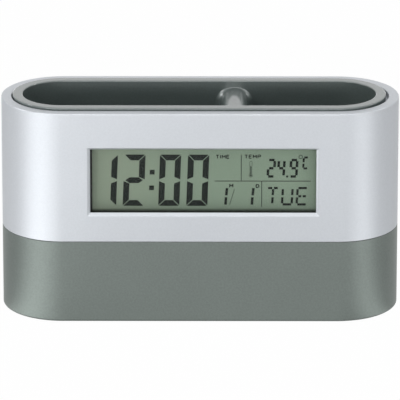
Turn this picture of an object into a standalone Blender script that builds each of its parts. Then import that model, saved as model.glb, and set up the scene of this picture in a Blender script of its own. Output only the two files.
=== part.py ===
"""Pen holder clock: an upright desk pen cup with rounded ends and a liquid-crystal clock in its front.

The clock stands on its feet at z = 0, centred on the origin, with the display facing -Y.
Sizes are in millimetres and become metres as each shape is made.
"""

import math

import bmesh
import bpy
from mathutils import Matrix, Vector

MM = 0.001

# Plan of the body: two half rounds joined by straight sides
LENGTH = 150.0
DEPTH = 46.6
END_RADIUS = DEPTH / 2
END_X = LENGTH / 2 - END_RADIUS
END_STEPS = 16
FRONT_Y = -END_RADIUS
BACK_Y = END_RADIUS

# Heights above the table
FOOT_HEIGHT = 1.0
SEAM_Z = 33.5
SLEEVE_TOP = 83.5
RIM_TOP = 84.4

# Walls and the air left between pieces
WALL = 2.2
CUP_WALL = 1.6
GAP = 0.3

# Silver sleeve: lip and ledge that carry the cup
LIP_WIDTH = 3.9
LEDGE_WIDTH = 6.4
LEDGE_TOP = 81.5
LEDGE_BOTTOM = 79.5

# Dark base
FLOOR_BOTTOM = FOOT_HEIGHT
FLOOR_TOP = 3.0
SKIRT_TOP = 37.0
SKIRT_IN = WALL + GAP
SKIRT_OUT = 3.9

# Pen cup: offsets are measured in from the outside of the body
RIM_OUTER = LIP_WIDTH + 0.4
RIM_INNER = 8.3
CUP_OFFSET = 6.8
CUP_INNER = CUP_OFFSET + CUP_WALL
CUP_BOTTOM = 20.0
CUP_FLOOR = CUP_BOTTOM + 1.8
FLANGE_BOTTOM = LEDGE_TOP + GAP
SETBACK_Y = -9.6
SETBACK_TOP = 74.0
SHOULDER_RUN = 5.6
SHOULDER_TOP = 81.4

# Divider across the cup, with a full round top, hollow from below and flared where it meets the back wall
DIVIDER_X = 13.1
DIVIDER_HALF = 4.6
DIVIDER_CROWN_Z = 75.65
DIVIDER_WALL = 1.6
DIVIDER_FRONT_Y = -15.6
FLARE = 1.75
FLARE_END_Y = BACK_Y - CUP_INNER + 0.05

# Display window: front opening, and the smaller opening at the back of the wall
WINDOW_FRONT = ((-41.5, 45.2), (43.5, 70.3))
WINDOW_BACK = ((-40.5, 43.9), (44.2, 69.5))
DISPLAY_X = 1.8
DISPLAY_Z = 56.85

# Layers behind the window: half width and half height round the display's centre, and depths along Y
TAPE_HALF = (44.8, 14.85)
TAPE_OPENING = (43.0, 13.35)
TAPE_Y = (-20.85, -20.6)
LENS_HALF = (44.9, 14.95)
LENS_Y = (-20.35, -19.25)
LENS_EDGE = 0.2
FRAME_HALF = (46.0, 16.0)
FRAME_OPENING = (42.3, 13.35)
FRAME_POCKET = (44.4, 15.3)
FRAME_Y = (-18.95, -14.85)
FRAME_FACE = 0.8
GLASS_HALF = (44.0, 14.9)
FRONT_GLASS_Y = (-17.9, -17.2)
REAR_GLASS_HALF = (44.0, 12.0)
REAR_GLASS_Y = (-16.95, -16.25)
REFLECTOR_HALF = (43.6, 11.8)
REFLECTOR_Y = (-16.0, -15.7)
STRIP_HALF = (43.0, 14.8)
STRIP_Y = (-16.95, -14.9)
STRIP_HEIGHT = 2.2

# Clock board, the bosses that carry it and the pieces soldered to its back
BOARD_HALF = (52.4, 16.6)
BOARD_Y = (-14.6, -13.4)
BOSS_X = 49.6
BOSS_Z = 11.0
BOSS_RADIUS = 2.5
CHIP = (2.0, 57.0)
CHIP_RADII = (6.0, 3.6)
CHIP_HEIGHT = 1.3
CRYSTAL_X = (16.0, 22.0)
CRYSTAL_Z = 52.0
CRYSTAL_RADIUS = 0.75
CAPACITOR_X = (-16.0, -13.0)
CAPACITOR_Z = ((50.0, 51.6), (61.0, 62.6))
CAPACITOR_HEIGHT = 1.4
SENSOR = (46.0, 45.0)
SENSOR_RADII = (1.2, 0.8)
SENSOR_HEIGHT = 1.6

# Battery bay for two AAA cells lying side by side along X
BAY_X = 25.6
BAY_Y = (-12.4, 10.4)
BAY_TOP = 14.6
BAY_WALL = 1.6
CELL_RADIUS = 5.25
CELL_LENGTH = 43.5
NUB_LENGTH = 1.0
CELL_Z = 8.55
CELL_Y = (-6.6, 4.6)
NUB_X = 24.5
NUB_RADIUS = 1.9

# Contacts: sheet plates at both ends of the cells, with conical springs on the negative sides
PLATE_X = (24.8, 25.3)
PLATE_Z = (4.9, 12.2)
PLATE_HALF = 4.0
LINK_Y = (-10.4, 8.4)
SOLDER_TAB_HALF = 1.0
SOLDER_TAB_Z = (11.0, 17.6)
SPRING_X = 25.05
SPRING_RADII = (3.8, 2.4)
SPRING_TURNS = 3
SPRING_WIRE = 0.3

# Battery door, hinged on tabs along its front edge; hook and tongue are drawn as (Y, Z)
DOOR_X = 25.6
DOOR_Y = (-12.7, 10.7)
DOOR_Z = (1.15, 2.85)
TAB_X = 15.0
TAB_WIDTH = 6.0
HOOK = ((-12.55, 2.0), (-11.4, 2.0), (-11.4, 4.1), (-14.2, 4.1), (-14.2, 3.35), (-12.55, 3.35))
TONGUE = ((8.8, 2.0), (9.8, 2.0), (9.8, 3.5), (10.05, 3.9), (9.8, 4.4), (9.5, 4.8), (8.8, 4.8))
TONGUE_HALF = 5.0
GRIP_Y = (4.4, 6.2, 8.0)
GRIP_HALF = (7.0, 0.4)
GRIP_DEPTH = 0.35
NOTCH_RADII = (5.0, 4.4)

# Four push buttons in a recess at the back of the base
BUTTON_X = (-19.5, -6.5, 6.5, 19.5)
BUTTON_Z = 12.5
BUTTON_SIZE = (8.0, 4.6)
BUTTON_FLANGE = 0.8
RECESS_SIZE = (54.0, 9.0)
RECESS_DEPTH = 0.9
KEYPAD_X = 27.0
KEYPAD_Y = (17.5, 18.1)
KEYPAD_Z = (7.5, 17.5)
DOME_RADII = (3.8, 2.4)
DOME_HOLLOW = (3.1, 2.2)
DOME_WALL = 0.8
KEY_BOARD_X = 33.5
KEY_BOARD_Y = (16.0, 17.2)
KEY_BOARD_Z = (6.0, 18.0)
KEY_SCREW_X = 30.5

# Screws that clamp cup, sleeve and base together, and the feet
BASE_SCREWS = ((-50.0, -5.0), (50.0, -5.0), (-50.0, 10.0), (50.0, 10.0))
BASE_BOSS_TOP = 14.0
BASE_BOSS_RADIUS = 3.7
BASE_SCREW_SEAT = BASE_BOSS_TOP - 3.8
FEET = ((-60.0, -12.0), (60.0, -12.0), (-60.0, 12.0), (60.0, 12.0))
FOOT_RADIUS = 4.0
FOOT_TAPER = 0.4

# Screws: head radius, head height, shank radius, shank length
BOARD_SCREW = (2.2, 1.4, 1.0, 5.2)
KEY_SCREW = (1.9, 1.2, 0.9, 4.4)
BASE_SCREW = (2.3, 1.7, 1.15, 9.6)

# Alarm sounder: a brass disc with a ceramic disc on it, and the holes under it
SOUNDER = (-36.5, -1.0)
SOUNDER_RADIUS = 7.5
SOUNDER_Z = (3.3, 3.7)
CERAMIC_RADIUS = 5.0
CERAMIC_TOP = 4.1
HOLE_CIRCLE = 3.4
HOLE_RADIUS = 0.8

# Wires and the flat cable, as (X, Y, Z) along their way; each ends with the same rise in front of the cup
LEAD_RADIUS = 0.5
SOUNDER_LEAD_RADIUS = 0.4
LEAD_RISE = ((-13.6, 21.5), (-13.0, 30.0), (-12.55, 38.0), (-12.55, 44.0))
POSITIVE_LEAD = ((26.1, -6.6, 17.0), (28.0, -7.6, 17.8), (30.4, -11.0, 18.6))
POSITIVE_RISE_X = 31.0
NEGATIVE_LEAD = ((26.1, 4.6, 17.0), (28.2, 3.2, 18.0), (32.0, -6.0, 18.0), (33.4, -11.0, 18.6))
NEGATIVE_RISE_X = 34.0
SOUNDER_LEAD = ((-1.0, 4.9), (-1.6, 9.0), (-6.0, 15.4), (-11.0, 18.2))
SOUNDER_LEAD_SHIFT = 2.0
RIBBON_X = (37.0, 43.0)
RIBBON_HALF = 0.2
RIBBON_ROUTE = (
    (15.6, 9.0),
    (15.2, 13.0),
    (12.6, 17.0),
    (7.0, 18.1),
    (-7.0, 18.1),
    (-11.5, 18.4),
    (-13.6, 20.6),
    (-13.2, 30.0),
    (-12.5, 38.0),
    (-12.5, 44.0),
)

# Colours as seen, in sRGB, with roughness and metallic value
SILVER = ((204, 209, 213), 0.35, 0.6)
DARK_GREY = ((112, 118, 115), 0.45, 0.3)
CUP_GREY = ((74, 79, 75), 0.5, 0.0)
BLACK = ((22, 22, 23), 0.5, 0.0)
CLEAR = ((215, 228, 222), 0.08, 0.0)
LCD_GREEN = ((124, 140, 122), 0.3, 0.0)
RUBBER = ((40, 41, 42), 0.8, 0.0)
ELASTOMER = ((200, 196, 188), 0.7, 0.0)
CIRCUIT_GREEN = ((38, 96, 62), 0.5, 0.0)
STEEL = ((176, 178, 180), 0.3, 1.0)
BRASS = ((196, 164, 92), 0.35, 1.0)
RED = ((176, 34, 30), 0.5, 0.0)
WHITE = ((226, 226, 222), 0.5, 0.0)
CELL_JACKET = ((66, 92, 120), 0.4, 0.2)

WIRE_RESOLUTION = 2
COIL_RESOLUTION = 1


def clear_scene():
    for obj in list(bpy.data.objects):
        bpy.data.objects.remove(obj)


def new_collection(name):
    collection = bpy.data.collections.new(name)
    bpy.context.scene.collection.children.link(collection)
    return collection


def linear(channel):
    value = channel / 255
    return value / 12.92 if value <= 0.04045 else ((value + 0.055) / 1.055) ** 2.4


def material(name, finish):
    colour, roughness, metallic = finish
    made = bpy.data.materials.new(name)
    made.use_nodes = True
    shader = made.node_tree.nodes["Principled BSDF"]
    shader.inputs["Base Color"].default_value = (*(linear(channel) for channel in colour), 1.0)
    shader.inputs["Roughness"].default_value = roughness
    shader.inputs["Metallic"].default_value = metallic
    return made


def part(name, shape, finish, origin=(0.0, 0.0, 0.0)):
    """Name a shape as a piece of the clock, with its own material and its origin at the given point."""
    bmesh.ops.recalc_face_normals(shape, faces=shape.faces)
    bmesh.ops.translate(shape, vec=-Vector(origin) * MM, verts=shape.verts)
    mesh = bpy.data.meshes.new(name)
    shape.to_mesh(mesh)
    shape.free()
    mesh.shade_smooth()
    mesh.set_sharp_from_angle(angle=math.radians(35))
    mesh.materials.append(material(name, finish))
    obj = bpy.data.objects.new(name, mesh)
    obj.location = Vector(origin) * MM
    PARTS.objects.link(obj)
    return obj


def combine(obj, shape, operation):
    """Join a shape to a piece, or cut it away, through a Boolean with a hidden helper."""
    bmesh.ops.recalc_face_normals(shape, faces=shape.faces)
    count = len(obj.modifiers) + 1
    name = f"{obj.name}_{operation.lower()}_{count}"
    mesh = bpy.data.meshes.new(name)
    shape.to_mesh(mesh)
    shape.free()
    helper = bpy.data.objects.new(name, mesh)
    helper.hide_render = True
    helper.display_type = "WIRE"
    CUTTERS.objects.link(helper)
    boolean = obj.modifiers.new(name, "BOOLEAN")
    boolean.operation = operation
    boolean.solver = "EXACT"
    boolean.object = helper


def join(obj, shape):
    combine(obj, shape, "UNION")


def cut(obj, shape):
    combine(obj, shape, "DIFFERENCE")


def copy_of(obj, name, location, rotation=(0.0, 0.0, 0.0)):
    """Another object that shares a piece's mesh, at its own place."""
    twin = bpy.data.objects.new(name, obj.data)
    twin.location = Vector(location) * MM
    twin.rotation_euler = rotation
    PARTS.objects.link(twin)
    return twin


def baked(obj):
    """Turn a piece's modifiers into plain mesh, so that copies can share it."""
    bpy.context.view_layer.update()
    graph = bpy.context.evaluated_depsgraph_get()
    mesh = bpy.data.meshes.new_from_object(obj.evaluated_get(graph))
    obj.modifiers.clear()
    obj.data = mesh
    return obj


def box(x, y, z):
    """A block between the low and high values given for each axis."""
    shape = bmesh.new()
    low, high = Vector((x[0], y[0], z[0])), Vector((x[1], y[1], z[1]))
    size = Matrix.Diagonal(((high - low) * MM).to_4d())
    bmesh.ops.create_cube(shape, size=1, matrix=Matrix.Translation((low + high) / 2 * MM) @ size)
    return shape


def rod(start, end, radius, end_radius=None, sides=16):
    """A round bar, or a cone, between two points."""
    shape = bmesh.new()
    start, end = Vector(start), Vector(end)
    way = end - start
    turn = way.to_track_quat("Z", "Y").to_matrix().to_4x4()
    bmesh.ops.create_cone(
        shape,
        cap_ends=True,
        segments=sides,
        radius1=radius * MM,
        radius2=(radius if end_radius is None else end_radius) * MM,
        depth=way.length * MM,
        matrix=Matrix.Translation((start + end) / 2 * MM) @ turn,
    )
    return shape


def prism(outline, axis, low, high):
    """A flat outline carried along an axis; its points are the other two coordinates in order."""
    place = {
        "X": lambda u, v, along: Vector((along, u, v)) * MM,
        "Y": lambda u, v, along: Vector((u, along, v)) * MM,
        "Z": lambda u, v, along: Vector((u, v, along)) * MM,
    }[axis]
    shape = bmesh.new()
    corners = [shape.verts.new(place(u, v, low)) for u, v in outline]
    face = shape.faces.new(corners)
    grown = bmesh.ops.extrude_face_region(shape, geom=[face])["geom"]
    moved = [item for item in grown if isinstance(item, bmesh.types.BMVert)]
    bmesh.ops.translate(shape, vec=place(0.0, 0.0, high - low), verts=moved)
    return shape


def arc(centre, radius, start, end, steps):
    """Points along an arc, with its angles in degrees."""
    turns = [math.radians(start + (end - start) * step / steps) for step in range(steps + 1)]
    return [(centre[0] + radius * math.cos(t), centre[1] + radius * math.sin(t)) for t in turns]


def rounded_rect(centre, size, radius, steps=4):
    """A rectangle with round corners; its radius stays under half of each side."""
    reach = (size[0] / 2 - radius, size[1] / 2 - radius)
    points = []
    for number, (side, rise) in enumerate(((1, 1), (-1, 1), (-1, -1), (1, -1))):
        corner = (centre[0] + side * reach[0], centre[1] + rise * reach[1])
        points += arc(corner, radius, 90 * number, 90 * number + 90, steps)
    return points


def swept(profile):
    """Carry a profile of (offset inwards, height) round the rounded-end plan.

    A profile that starts and ends on the centre line makes a solid, and any other is closed into a ring.
    """
    shape = bmesh.new()
    verts = [
        shape.verts.new(Vector((END_X, offset - END_RADIUS, height)) * MM)
        for offset, height in profile
    ]
    solid = profile[0][0] == profile[-1][0] == END_RADIUS
    pairs = zip(verts, verts[1:] if solid else verts[1:] + verts[:1])
    edges = [shape.edges.new(pair) for pair in pairs]
    last = verts + edges
    for side in (1, -1):
        turned = bmesh.ops.spin(
            shape,
            geom=last,
            cent=(side * END_X * MM, 0.0, 0.0),
            axis=(0.0, 0.0, 1.0),
            angle=math.pi,
            steps=END_STEPS,
        )
        edges = [item for item in turned["geom_last"] if isinstance(item, bmesh.types.BMEdge)]
        last = bmesh.ops.extrude_edge_only(shape, edges=edges)["geom"]
        verts = [item for item in last if isinstance(item, bmesh.types.BMVert)]
        bmesh.ops.translate(shape, vec=Vector((-side * 2 * END_X * MM, 0.0, 0.0)), verts=verts)
        last = verts + [
            edge
            for edge in shape.edges
            if edge.verts[0] in verts and edge.verts[1] in verts
        ]
    bmesh.ops.remove_doubles(shape, verts=shape.verts, dist=1e-3 * MM)
    return shape


def smooth_route(route, spacing):
    """Evenly spaced points on a Catmull-Rom curve through a wire's own points."""
    points = [Vector(point) for point in route]
    padded = [points[0] * 2 - points[1], *points, points[-1] * 2 - points[-2]]
    fine = []
    for a, b, c, d in zip(padded, padded[1:], padded[2:], padded[3:]):
        for step in range(16):
            t = step / 16
            fine.append(
                (2 * b + (c - a) * t + (2 * a - 5 * b + 4 * c - d) * t**2 + (3 * b - a - 3 * c + d) * t**3)
                / 2
            )
    fine.append(points[-1])
    lengths = [0.0]
    for near, far in zip(fine, fine[1:]):
        lengths.append(lengths[-1] + (far - near).length)
    count = max(2, round(lengths[-1] / spacing))
    even = []
    index = 0
    for number in range(count + 1):
        goal = lengths[-1] * number / count
        while index < len(lengths) - 2 and lengths[index + 1] < goal:
            index += 1
        share = (goal - lengths[index]) / (lengths[index + 1] - lengths[index])
        even.append(fine[index].lerp(fine[index + 1], share))
    return even


def tube_object(name, points, radius, resolution):
    curve = bpy.data.curves.new(name, "CURVE")
    curve.dimensions = "3D"
    curve.bevel_depth = radius * MM
    curve.bevel_resolution = resolution
    curve.use_fill_caps = True
    spline = curve.splines.new("POLY")
    spline.points.add(len(points) - 1)
    for slot, point in zip(spline.points, points):
        slot.co = (Vector(point) * MM).to_4d()
    obj = bpy.data.objects.new(name, curve)
    PARTS.objects.link(obj)
    return obj


def wire(name, route, radius, finish):
    """An insulated lead along a smooth route."""
    obj = tube_object(name, smooth_route(route, 5 * radius), radius, WIRE_RESOLUTION)
    obj.data.materials.append(material(name, finish))
    return obj


def tube_shape(points, radius):
    """A bent round wire as a closed mesh."""
    obj = tube_object("bent_wire", points, radius, COIL_RESOLUTION)
    bpy.context.view_layer.update()
    graph = bpy.context.evaluated_depsgraph_get()
    mesh = bpy.data.meshes.new_from_object(obj.evaluated_get(graph))
    shape = bmesh.new()
    shape.from_mesh(mesh)
    bmesh.ops.remove_doubles(shape, verts=shape.verts, dist=1e-3 * MM)
    bpy.data.objects.remove(obj)
    return shape


def coil(start_x, end_x, centre_y):
    """A conical contact spring along X, wide at its start and narrow at its end."""
    wide, narrow = SPRING_RADII
    steps = 9 * SPRING_TURNS
    points = []
    for step in range(steps + 1):
        share = step / steps
        reach = wide + (narrow - wide) * share
        turn = 2 * math.pi * SPRING_TURNS * share
        across = centre_y + reach * math.cos(turn)
        points.append((start_x + (end_x - start_x) * share, across, CELL_Z + reach * math.sin(turn)))
    return tube_shape(points, SPRING_WIRE)


def screw(name, head_radius, head_height, shank_radius, shank_length, finish):
    """A pan head screw standing on its tip: its origin is under the head, and the head is at the top."""
    obj = part(name, rod((0, 0, -shank_length), (0, 0, head_height / 2), shank_radius, sides=10), finish)
    join(obj, rod((0, 0, 0), (0, 0, head_height), head_radius, head_radius * 0.72, sides=16))
    slot = head_radius * 0.62
    for half_x, half_y in ((slot, 0.3), (0.3, slot)):
        cut(obj, box((-half_x, half_x), (-half_y, half_y), (head_height * 0.45, head_height + 1)))
    return baked(obj)


def place_screws(pattern, name, places, rotation):
    """Stand copies of a screw at each place and drop the pattern."""
    for number, place in enumerate(places, 1):
        copy_of(pattern, f"{name}_{number}", place, rotation)
    bpy.data.objects.remove(pattern)


def window_cutter():
    """The display opening: it narrows from the front of the wall to the back, like a picture frame."""
    near, far = FRONT_Y - 1.0, FRONT_Y + WALL + 1.0
    shape = bmesh.new()
    bmesh.ops.create_cube(shape, size=2)
    for vert in shape.verts:
        share = (-1.0 if vert.co.y < 0 else WALL + 1.0) / WALL
        x, z = (
            front[side > 0] + (back[side > 0] - front[side > 0]) * share
            for front, back, side in zip(WINDOW_FRONT, WINDOW_BACK, (vert.co.x, vert.co.z))
        )
        vert.co = Vector((x, near if vert.co.y < 0 else far, z)) * MM
    return shape


def board_bosses():
    return [(DISPLAY_X + x, DISPLAY_Z + z) for x in (-BOSS_X, BOSS_X) for z in (-BOSS_Z, BOSS_Z)]


def upper_housing():
    """Silver sleeve: an open tube with a rounded lip, a ledge for the cup and the display window."""
    profile = [
        (0.0, SEAM_Z + GAP / 2),
        (0.0, SLEEVE_TOP - 1.0),
        (0.3, SLEEVE_TOP - 0.3),
        (1.0, SLEEVE_TOP),
        (LIP_WIDTH, SLEEVE_TOP),
        (LIP_WIDTH, LEDGE_TOP),
        (LEDGE_WIDTH, LEDGE_TOP),
        (LEDGE_WIDTH, LEDGE_BOTTOM),
        (WALL, LEDGE_BOTTOM - 2.0),
        (WALL, SEAM_Z + GAP / 2),
    ]
    housing = part("upper_housing", swept(profile), SILVER)
    for x, z in board_bosses():
        join(housing, rod((x, FRONT_Y + WALL / 2, z), (x, BOARD_Y[0] - GAP, z), BOSS_RADIUS))
    for x, z in board_bosses():
        cut(housing, rod((x, FRONT_Y + WALL + 0.8, z), (x, BOARD_Y[0] + 1, z), 1.3, sides=12))
    cut(housing, window_cutter())


def base_housing():
    """Dark tub: floor, walls, the skirt inside the sleeve, the battery bay, screw bosses and openings."""
    top = SEAM_Z - GAP / 2
    profile = [
        (END_RADIUS, FLOOR_BOTTOM),
        (1.0, FLOOR_BOTTOM),
        (0.3, FLOOR_BOTTOM + 0.3),
        (0.0, FLOOR_BOTTOM + 1.0),
        (0.0, top),
        (SKIRT_IN, top),
        (SKIRT_IN, SKIRT_TOP),
        (SKIRT_OUT, SKIRT_TOP),
        (SKIRT_OUT, top - 2.0),
        (WALL, top - 4.0),
        (WALL, FLOOR_TOP),
        (END_RADIUS, FLOOR_TOP),
    ]
    housing = part("base_housing", swept(profile), DARK_GREY)
    battery_bay(housing)
    for x, y in BASE_SCREWS:
        join(housing, rod((x, y, FLOOR_TOP - 0.5), (x, y, BASE_BOSS_TOP), BASE_BOSS_RADIUS))
    for x, y in BASE_SCREWS:
        cut(housing, rod((x, y, 0), (x, y, BASE_SCREW_SEAT + GAP), BASE_SCREW[0] + 0.4))
        cut(housing, rod((x, y, BASE_SCREW_SEAT), (x, y, BASE_BOSS_TOP + 1), 1.5, sides=12))
    for x, y in FEET:
        cut(housing, rod((x, y, 0), (x, y, FLOOR_BOTTOM + 0.6), FOOT_RADIUS + GAP, sides=20))
    sounder_seat(housing)
    button_recess(housing)


def battery_bay(housing):
    """Four walls and a roof over the cells, open to the door below."""
    outer_y = (BAY_Y[0] - BAY_WALL, BAY_Y[1] + BAY_WALL)
    outer_x = BAY_X + BAY_WALL
    join(housing, box((-outer_x, outer_x), outer_y, (FLOOR_TOP - 0.5, BAY_TOP + BAY_WALL)))
    cut(housing, box((-BAY_X, BAY_X), BAY_Y, (2.0, BAY_TOP)))
    opening_x = DOOR_X + GAP
    opening_y = (DOOR_Y[0] - GAP, DOOR_Y[1] + GAP)
    cut(housing, box((-opening_x, opening_x), opening_y, (0.0, FLOOR_TOP + 0.05)))
    slot = TAB_WIDTH / 2 + 0.4
    for x in (-TAB_X, TAB_X):
        cut(housing, box((x - slot, x + slot), (outer_y[0] - 1, BAY_Y[0] + 1), (FLOOR_TOP - 0.1, 5.2)))
    for y in CELL_Y:
        cut(housing, box((PLATE_X[0] - 0.4, PLATE_X[1] + 0.2), (y - 1.4, y + 1.4), (BAY_TOP - 1, 18)))
    notch_y = DOOR_Y[1] + 0.8
    cut(housing, rod((0, notch_y, 0), (0, notch_y, FLOOR_TOP - 1), *NOTCH_RADII, sides=20))


def sounder_seat(housing):
    """A locating ring and five sound holes."""
    x, y = SOUNDER
    join(housing, rod((x, y, FLOOR_TOP - 0.5), (x, y, 5.2), SOUNDER_RADIUS + 1.3, sides=20))
    cut(housing, rod((x, y, FLOOR_TOP), (x, y, 6.0), SOUNDER_RADIUS + GAP, sides=20))
    for hole in ((x, y), *arc((x, y), HOLE_CIRCLE, 45, 315, 3)):
        cut(housing, rod((*hole, 0), (*hole, FLOOR_TOP + 1), HOLE_RADIUS, sides=8))


def button_recess(housing):
    """A shallow long recess at the back, its four openings and two bosses for the key board."""
    recess = rounded_rect((0, BUTTON_Z), RECESS_SIZE, RECESS_SIZE[1] / 2 - 0.05)
    cut(housing, prism(recess, "Y", BACK_Y - RECESS_DEPTH, BACK_Y + 1))
    width, height = (side + 2 * GAP for side in BUTTON_SIZE)
    for x in BUTTON_X:
        opening = rounded_rect((x, BUTTON_Z), (width, height), height / 2 - 0.05)
        cut(housing, prism(opening, "Y", BACK_Y - WALL - 1, BACK_Y))
    for x in (-KEY_SCREW_X, KEY_SCREW_X):
        join(housing, rod((x, BACK_Y - WALL / 2, BUTTON_Z), (x, 17.5, BUTTON_Z), 2.2))
        cut(housing, rod((x, BACK_Y - WALL - 0.4, BUTTON_Z), (x, 16.0, BUTTON_Z), 1.2, sides=10))


def pen_cup():
    """Cup with a rounded rim and a divider; its front is set back below a shoulder for the clock."""
    outer = [
        (END_RADIUS, CUP_BOTTOM),
        (CUP_OFFSET + 1.0, CUP_BOTTOM),
        (CUP_OFFSET, CUP_BOTTOM + 1.0),
        (CUP_OFFSET, FLANGE_BOTTOM),
        (RIM_OUTER, FLANGE_BOTTOM),
        (RIM_OUTER, RIM_TOP - 0.8),
        (RIM_OUTER + 0.25, RIM_TOP - 0.25),
        (RIM_OUTER + 0.8, RIM_TOP),
        (END_RADIUS, RIM_TOP),
    ]
    cup = part("pen_cup", swept(outer), CUP_GREY)
    cut(cup, cavity())
    flare = arc((FLARE_END_Y - FLARE, FLARE), FLARE, -90, 0, 4)
    sections = [(DIVIDER_FRONT_Y, 0.0), *flare, (FLARE_END_Y + 0.7, FLARE)]
    join(cup, divider(DIVIDER_HALF, sections, CUP_BOTTOM + 0.9))
    for x, y in BASE_SCREWS:
        join(cup, rod((x, y, BASE_BOSS_TOP + GAP), (x, y, CUP_BOTTOM + 0.5), 2.8))
    hollow = [(SETBACK_Y + CUP_WALL, 0.0), (FLARE_END_Y - CUP_WALL - 0.05, 0.0)]
    cut(cup, divider(DIVIDER_HALF - DIVIDER_WALL, hollow, CUP_BOTTOM - 2))
    cut(cup, front_setback(CUP_WALL, CUP_BOTTOM - 10))
    for x, y in BASE_SCREWS:
        cut(cup, rod((x, y, BASE_BOSS_TOP - 1), (x, y, CUP_BOTTOM + 0.6), 1.5, sides=12))


def cavity():
    """The room for the pens, with the rim's inner rounding and the set-back front."""
    profile = [
        (END_RADIUS, CUP_FLOOR),
        (CUP_INNER + 1.0, CUP_FLOOR),
        (CUP_INNER, CUP_FLOOR + 1.0),
        (CUP_INNER, RIM_TOP - 1.0),
        (RIM_INNER - 0.25, RIM_TOP - 0.25),
        (RIM_INNER - 0.9, RIM_TOP + 0.05),
        (RIM_INNER - 0.9, RIM_TOP + 2),
        (END_RADIUS, RIM_TOP + 2),
    ]
    shape = swept(profile)
    bmesh.ops.recalc_face_normals(shape, faces=shape.faces)
    mesh = bpy.data.meshes.new("cavity")
    shape.to_mesh(mesh)
    shape.free()
    helper = bpy.data.objects.new("cavity", mesh)
    CUTTERS.objects.link(helper)
    cut(helper, front_setback(0.0, CUP_FLOOR - 5))
    baked(helper)
    shape = bmesh.new()
    shape.from_mesh(helper.data)
    bpy.data.objects.remove(helper)
    return shape


def front_setback(wall, low):
    """The block in front of the cup: an upright face, then a slope out to the rim, moved out by a wall."""
    rise, run = SHOULDER_TOP - SETBACK_TOP, SHOULDER_RUN
    slope = math.hypot(rise, run)
    shift_y, shift_z = wall * rise / slope, wall * run / slope
    corner_z = SETBACK_TOP - shift_z + (wall - shift_y) * rise / run
    top = (SETBACK_Y - run - shift_y, SHOULDER_TOP - shift_z)
    outline = [(-30, low), (SETBACK_Y - wall, low), (SETBACK_Y - wall, corner_z), top, (-30, top[1])]
    return prism(outline, "X", -LENGTH / 2, LENGTH / 2)


def divider(half_width, sections, low):
    """An upright partition with a full round top; each section is a depth along Y and a swelling there."""
    shape = bmesh.new()
    rings = []
    for y, swelling in sections:
        half = half_width + swelling
        crown = arc((DIVIDER_X, DIVIDER_CROWN_Z), half, 0, 180, 10)
        outline = [(DIVIDER_X + half, low), *crown, (DIVIDER_X - half, low)]
        rings.append([shape.verts.new(Vector((x, y, z)) * MM) for x, z in outline])
    for near, far in zip(rings, rings[1:]):
        for a, b, c, d in zip(near, near[1:] + near[:1], far[1:] + far[:1], far):
            shape.faces.new((a, b, c, d))
    shape.faces.new(rings[0])
    shape.faces.new(rings[-1])
    return shape


def centred_box(half, y):
    """A block centred on the display."""
    half_x, half_z = half
    return box((DISPLAY_X - half_x, DISPLAY_X + half_x), y, (DISPLAY_Z - half_z, DISPLAY_Z + half_z))


def through(y):
    """Depths that reach past both faces of a layer."""
    return (y[0] - 1.0, y[1] + 1.0)


def display_module():
    """Everything behind the window, from the lens back to the reflector and the contact strips."""
    tape = part("lens_tape", centred_box(TAPE_HALF, TAPE_Y), BLACK)
    cut(tape, centred_box(TAPE_OPENING, through(TAPE_Y)))
    lens = part("display_lens", centred_box(LENS_HALF, LENS_Y), CLEAR)
    edge = lens.modifiers.new("eased_edges", "BEVEL")
    edge.width = LENS_EDGE * MM
    edge.segments = 1
    frame = part("lcd_frame", centred_box(FRAME_HALF, FRAME_Y), BLACK)
    cut(frame, centred_box(FRAME_OPENING, through(FRAME_Y)))
    cut(frame, centred_box(FRAME_POCKET, (FRAME_Y[0] + FRAME_FACE, FRAME_Y[1] + 1.0)))
    part("lcd_front_glass", centred_box(GLASS_HALF, FRONT_GLASS_Y), LCD_GREEN)
    part("lcd_rear_glass", centred_box(REAR_GLASS_HALF, REAR_GLASS_Y), CLEAR)
    part("lcd_reflector", centred_box(REFLECTOR_HALF, REFLECTOR_Y), WHITE)
    half_x, half_z = STRIP_HALF
    x = (DISPLAY_X - half_x, DISPLAY_X + half_x)
    low, high = DISPLAY_Z - half_z, DISPLAY_Z + half_z
    part("contact_strip_lower", box(x, STRIP_Y, (low, low + STRIP_HEIGHT)), ELASTOMER)
    part("contact_strip_upper", box(x, STRIP_Y, (high - STRIP_HEIGHT, high)), ELASTOMER)


def clock_board():
    """Circuit board behind the display, with the pieces soldered to its back."""
    board = part("clock_board", centred_box(BOARD_HALF, BOARD_Y), CIRCUIT_GREEN)
    for x, z in board_bosses():
        cut(board, rod((x, BOARD_Y[0] - 1, z), (x, BOARD_Y[1] + 1, z), 1.35, sides=12))
    back = BOARD_Y[1] + GAP
    x, z = CHIP
    part("chip_cover", rod((x, back, z), (x, back + CHIP_HEIGHT, z), *CHIP_RADII, sides=20), BLACK)
    ends = [(x, back + CRYSTAL_RADIUS, CRYSTAL_Z) for x in CRYSTAL_X]
    part("timing_crystal", rod(*ends, CRYSTAL_RADIUS, sides=10), STEEL)
    for number, z in enumerate(CAPACITOR_Z, 1):
        part(f"capacitor_{number}", box(CAPACITOR_X, (back, back + CAPACITOR_HEIGHT), z), BRASS)
    x, z = SENSOR
    bead = rod((x, back, z), (x, back + SENSOR_HEIGHT, z), *SENSOR_RADII, sides=10)
    part("temperature_sensor", bead, BLACK)
    pattern = screw("board_screw", *BOARD_SCREW, STEEL)
    places = [(x, back, z) for x, z in board_bosses()]
    place_screws(pattern, "board_screw", places, (-math.pi / 2, 0.0, 0.0))


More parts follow.
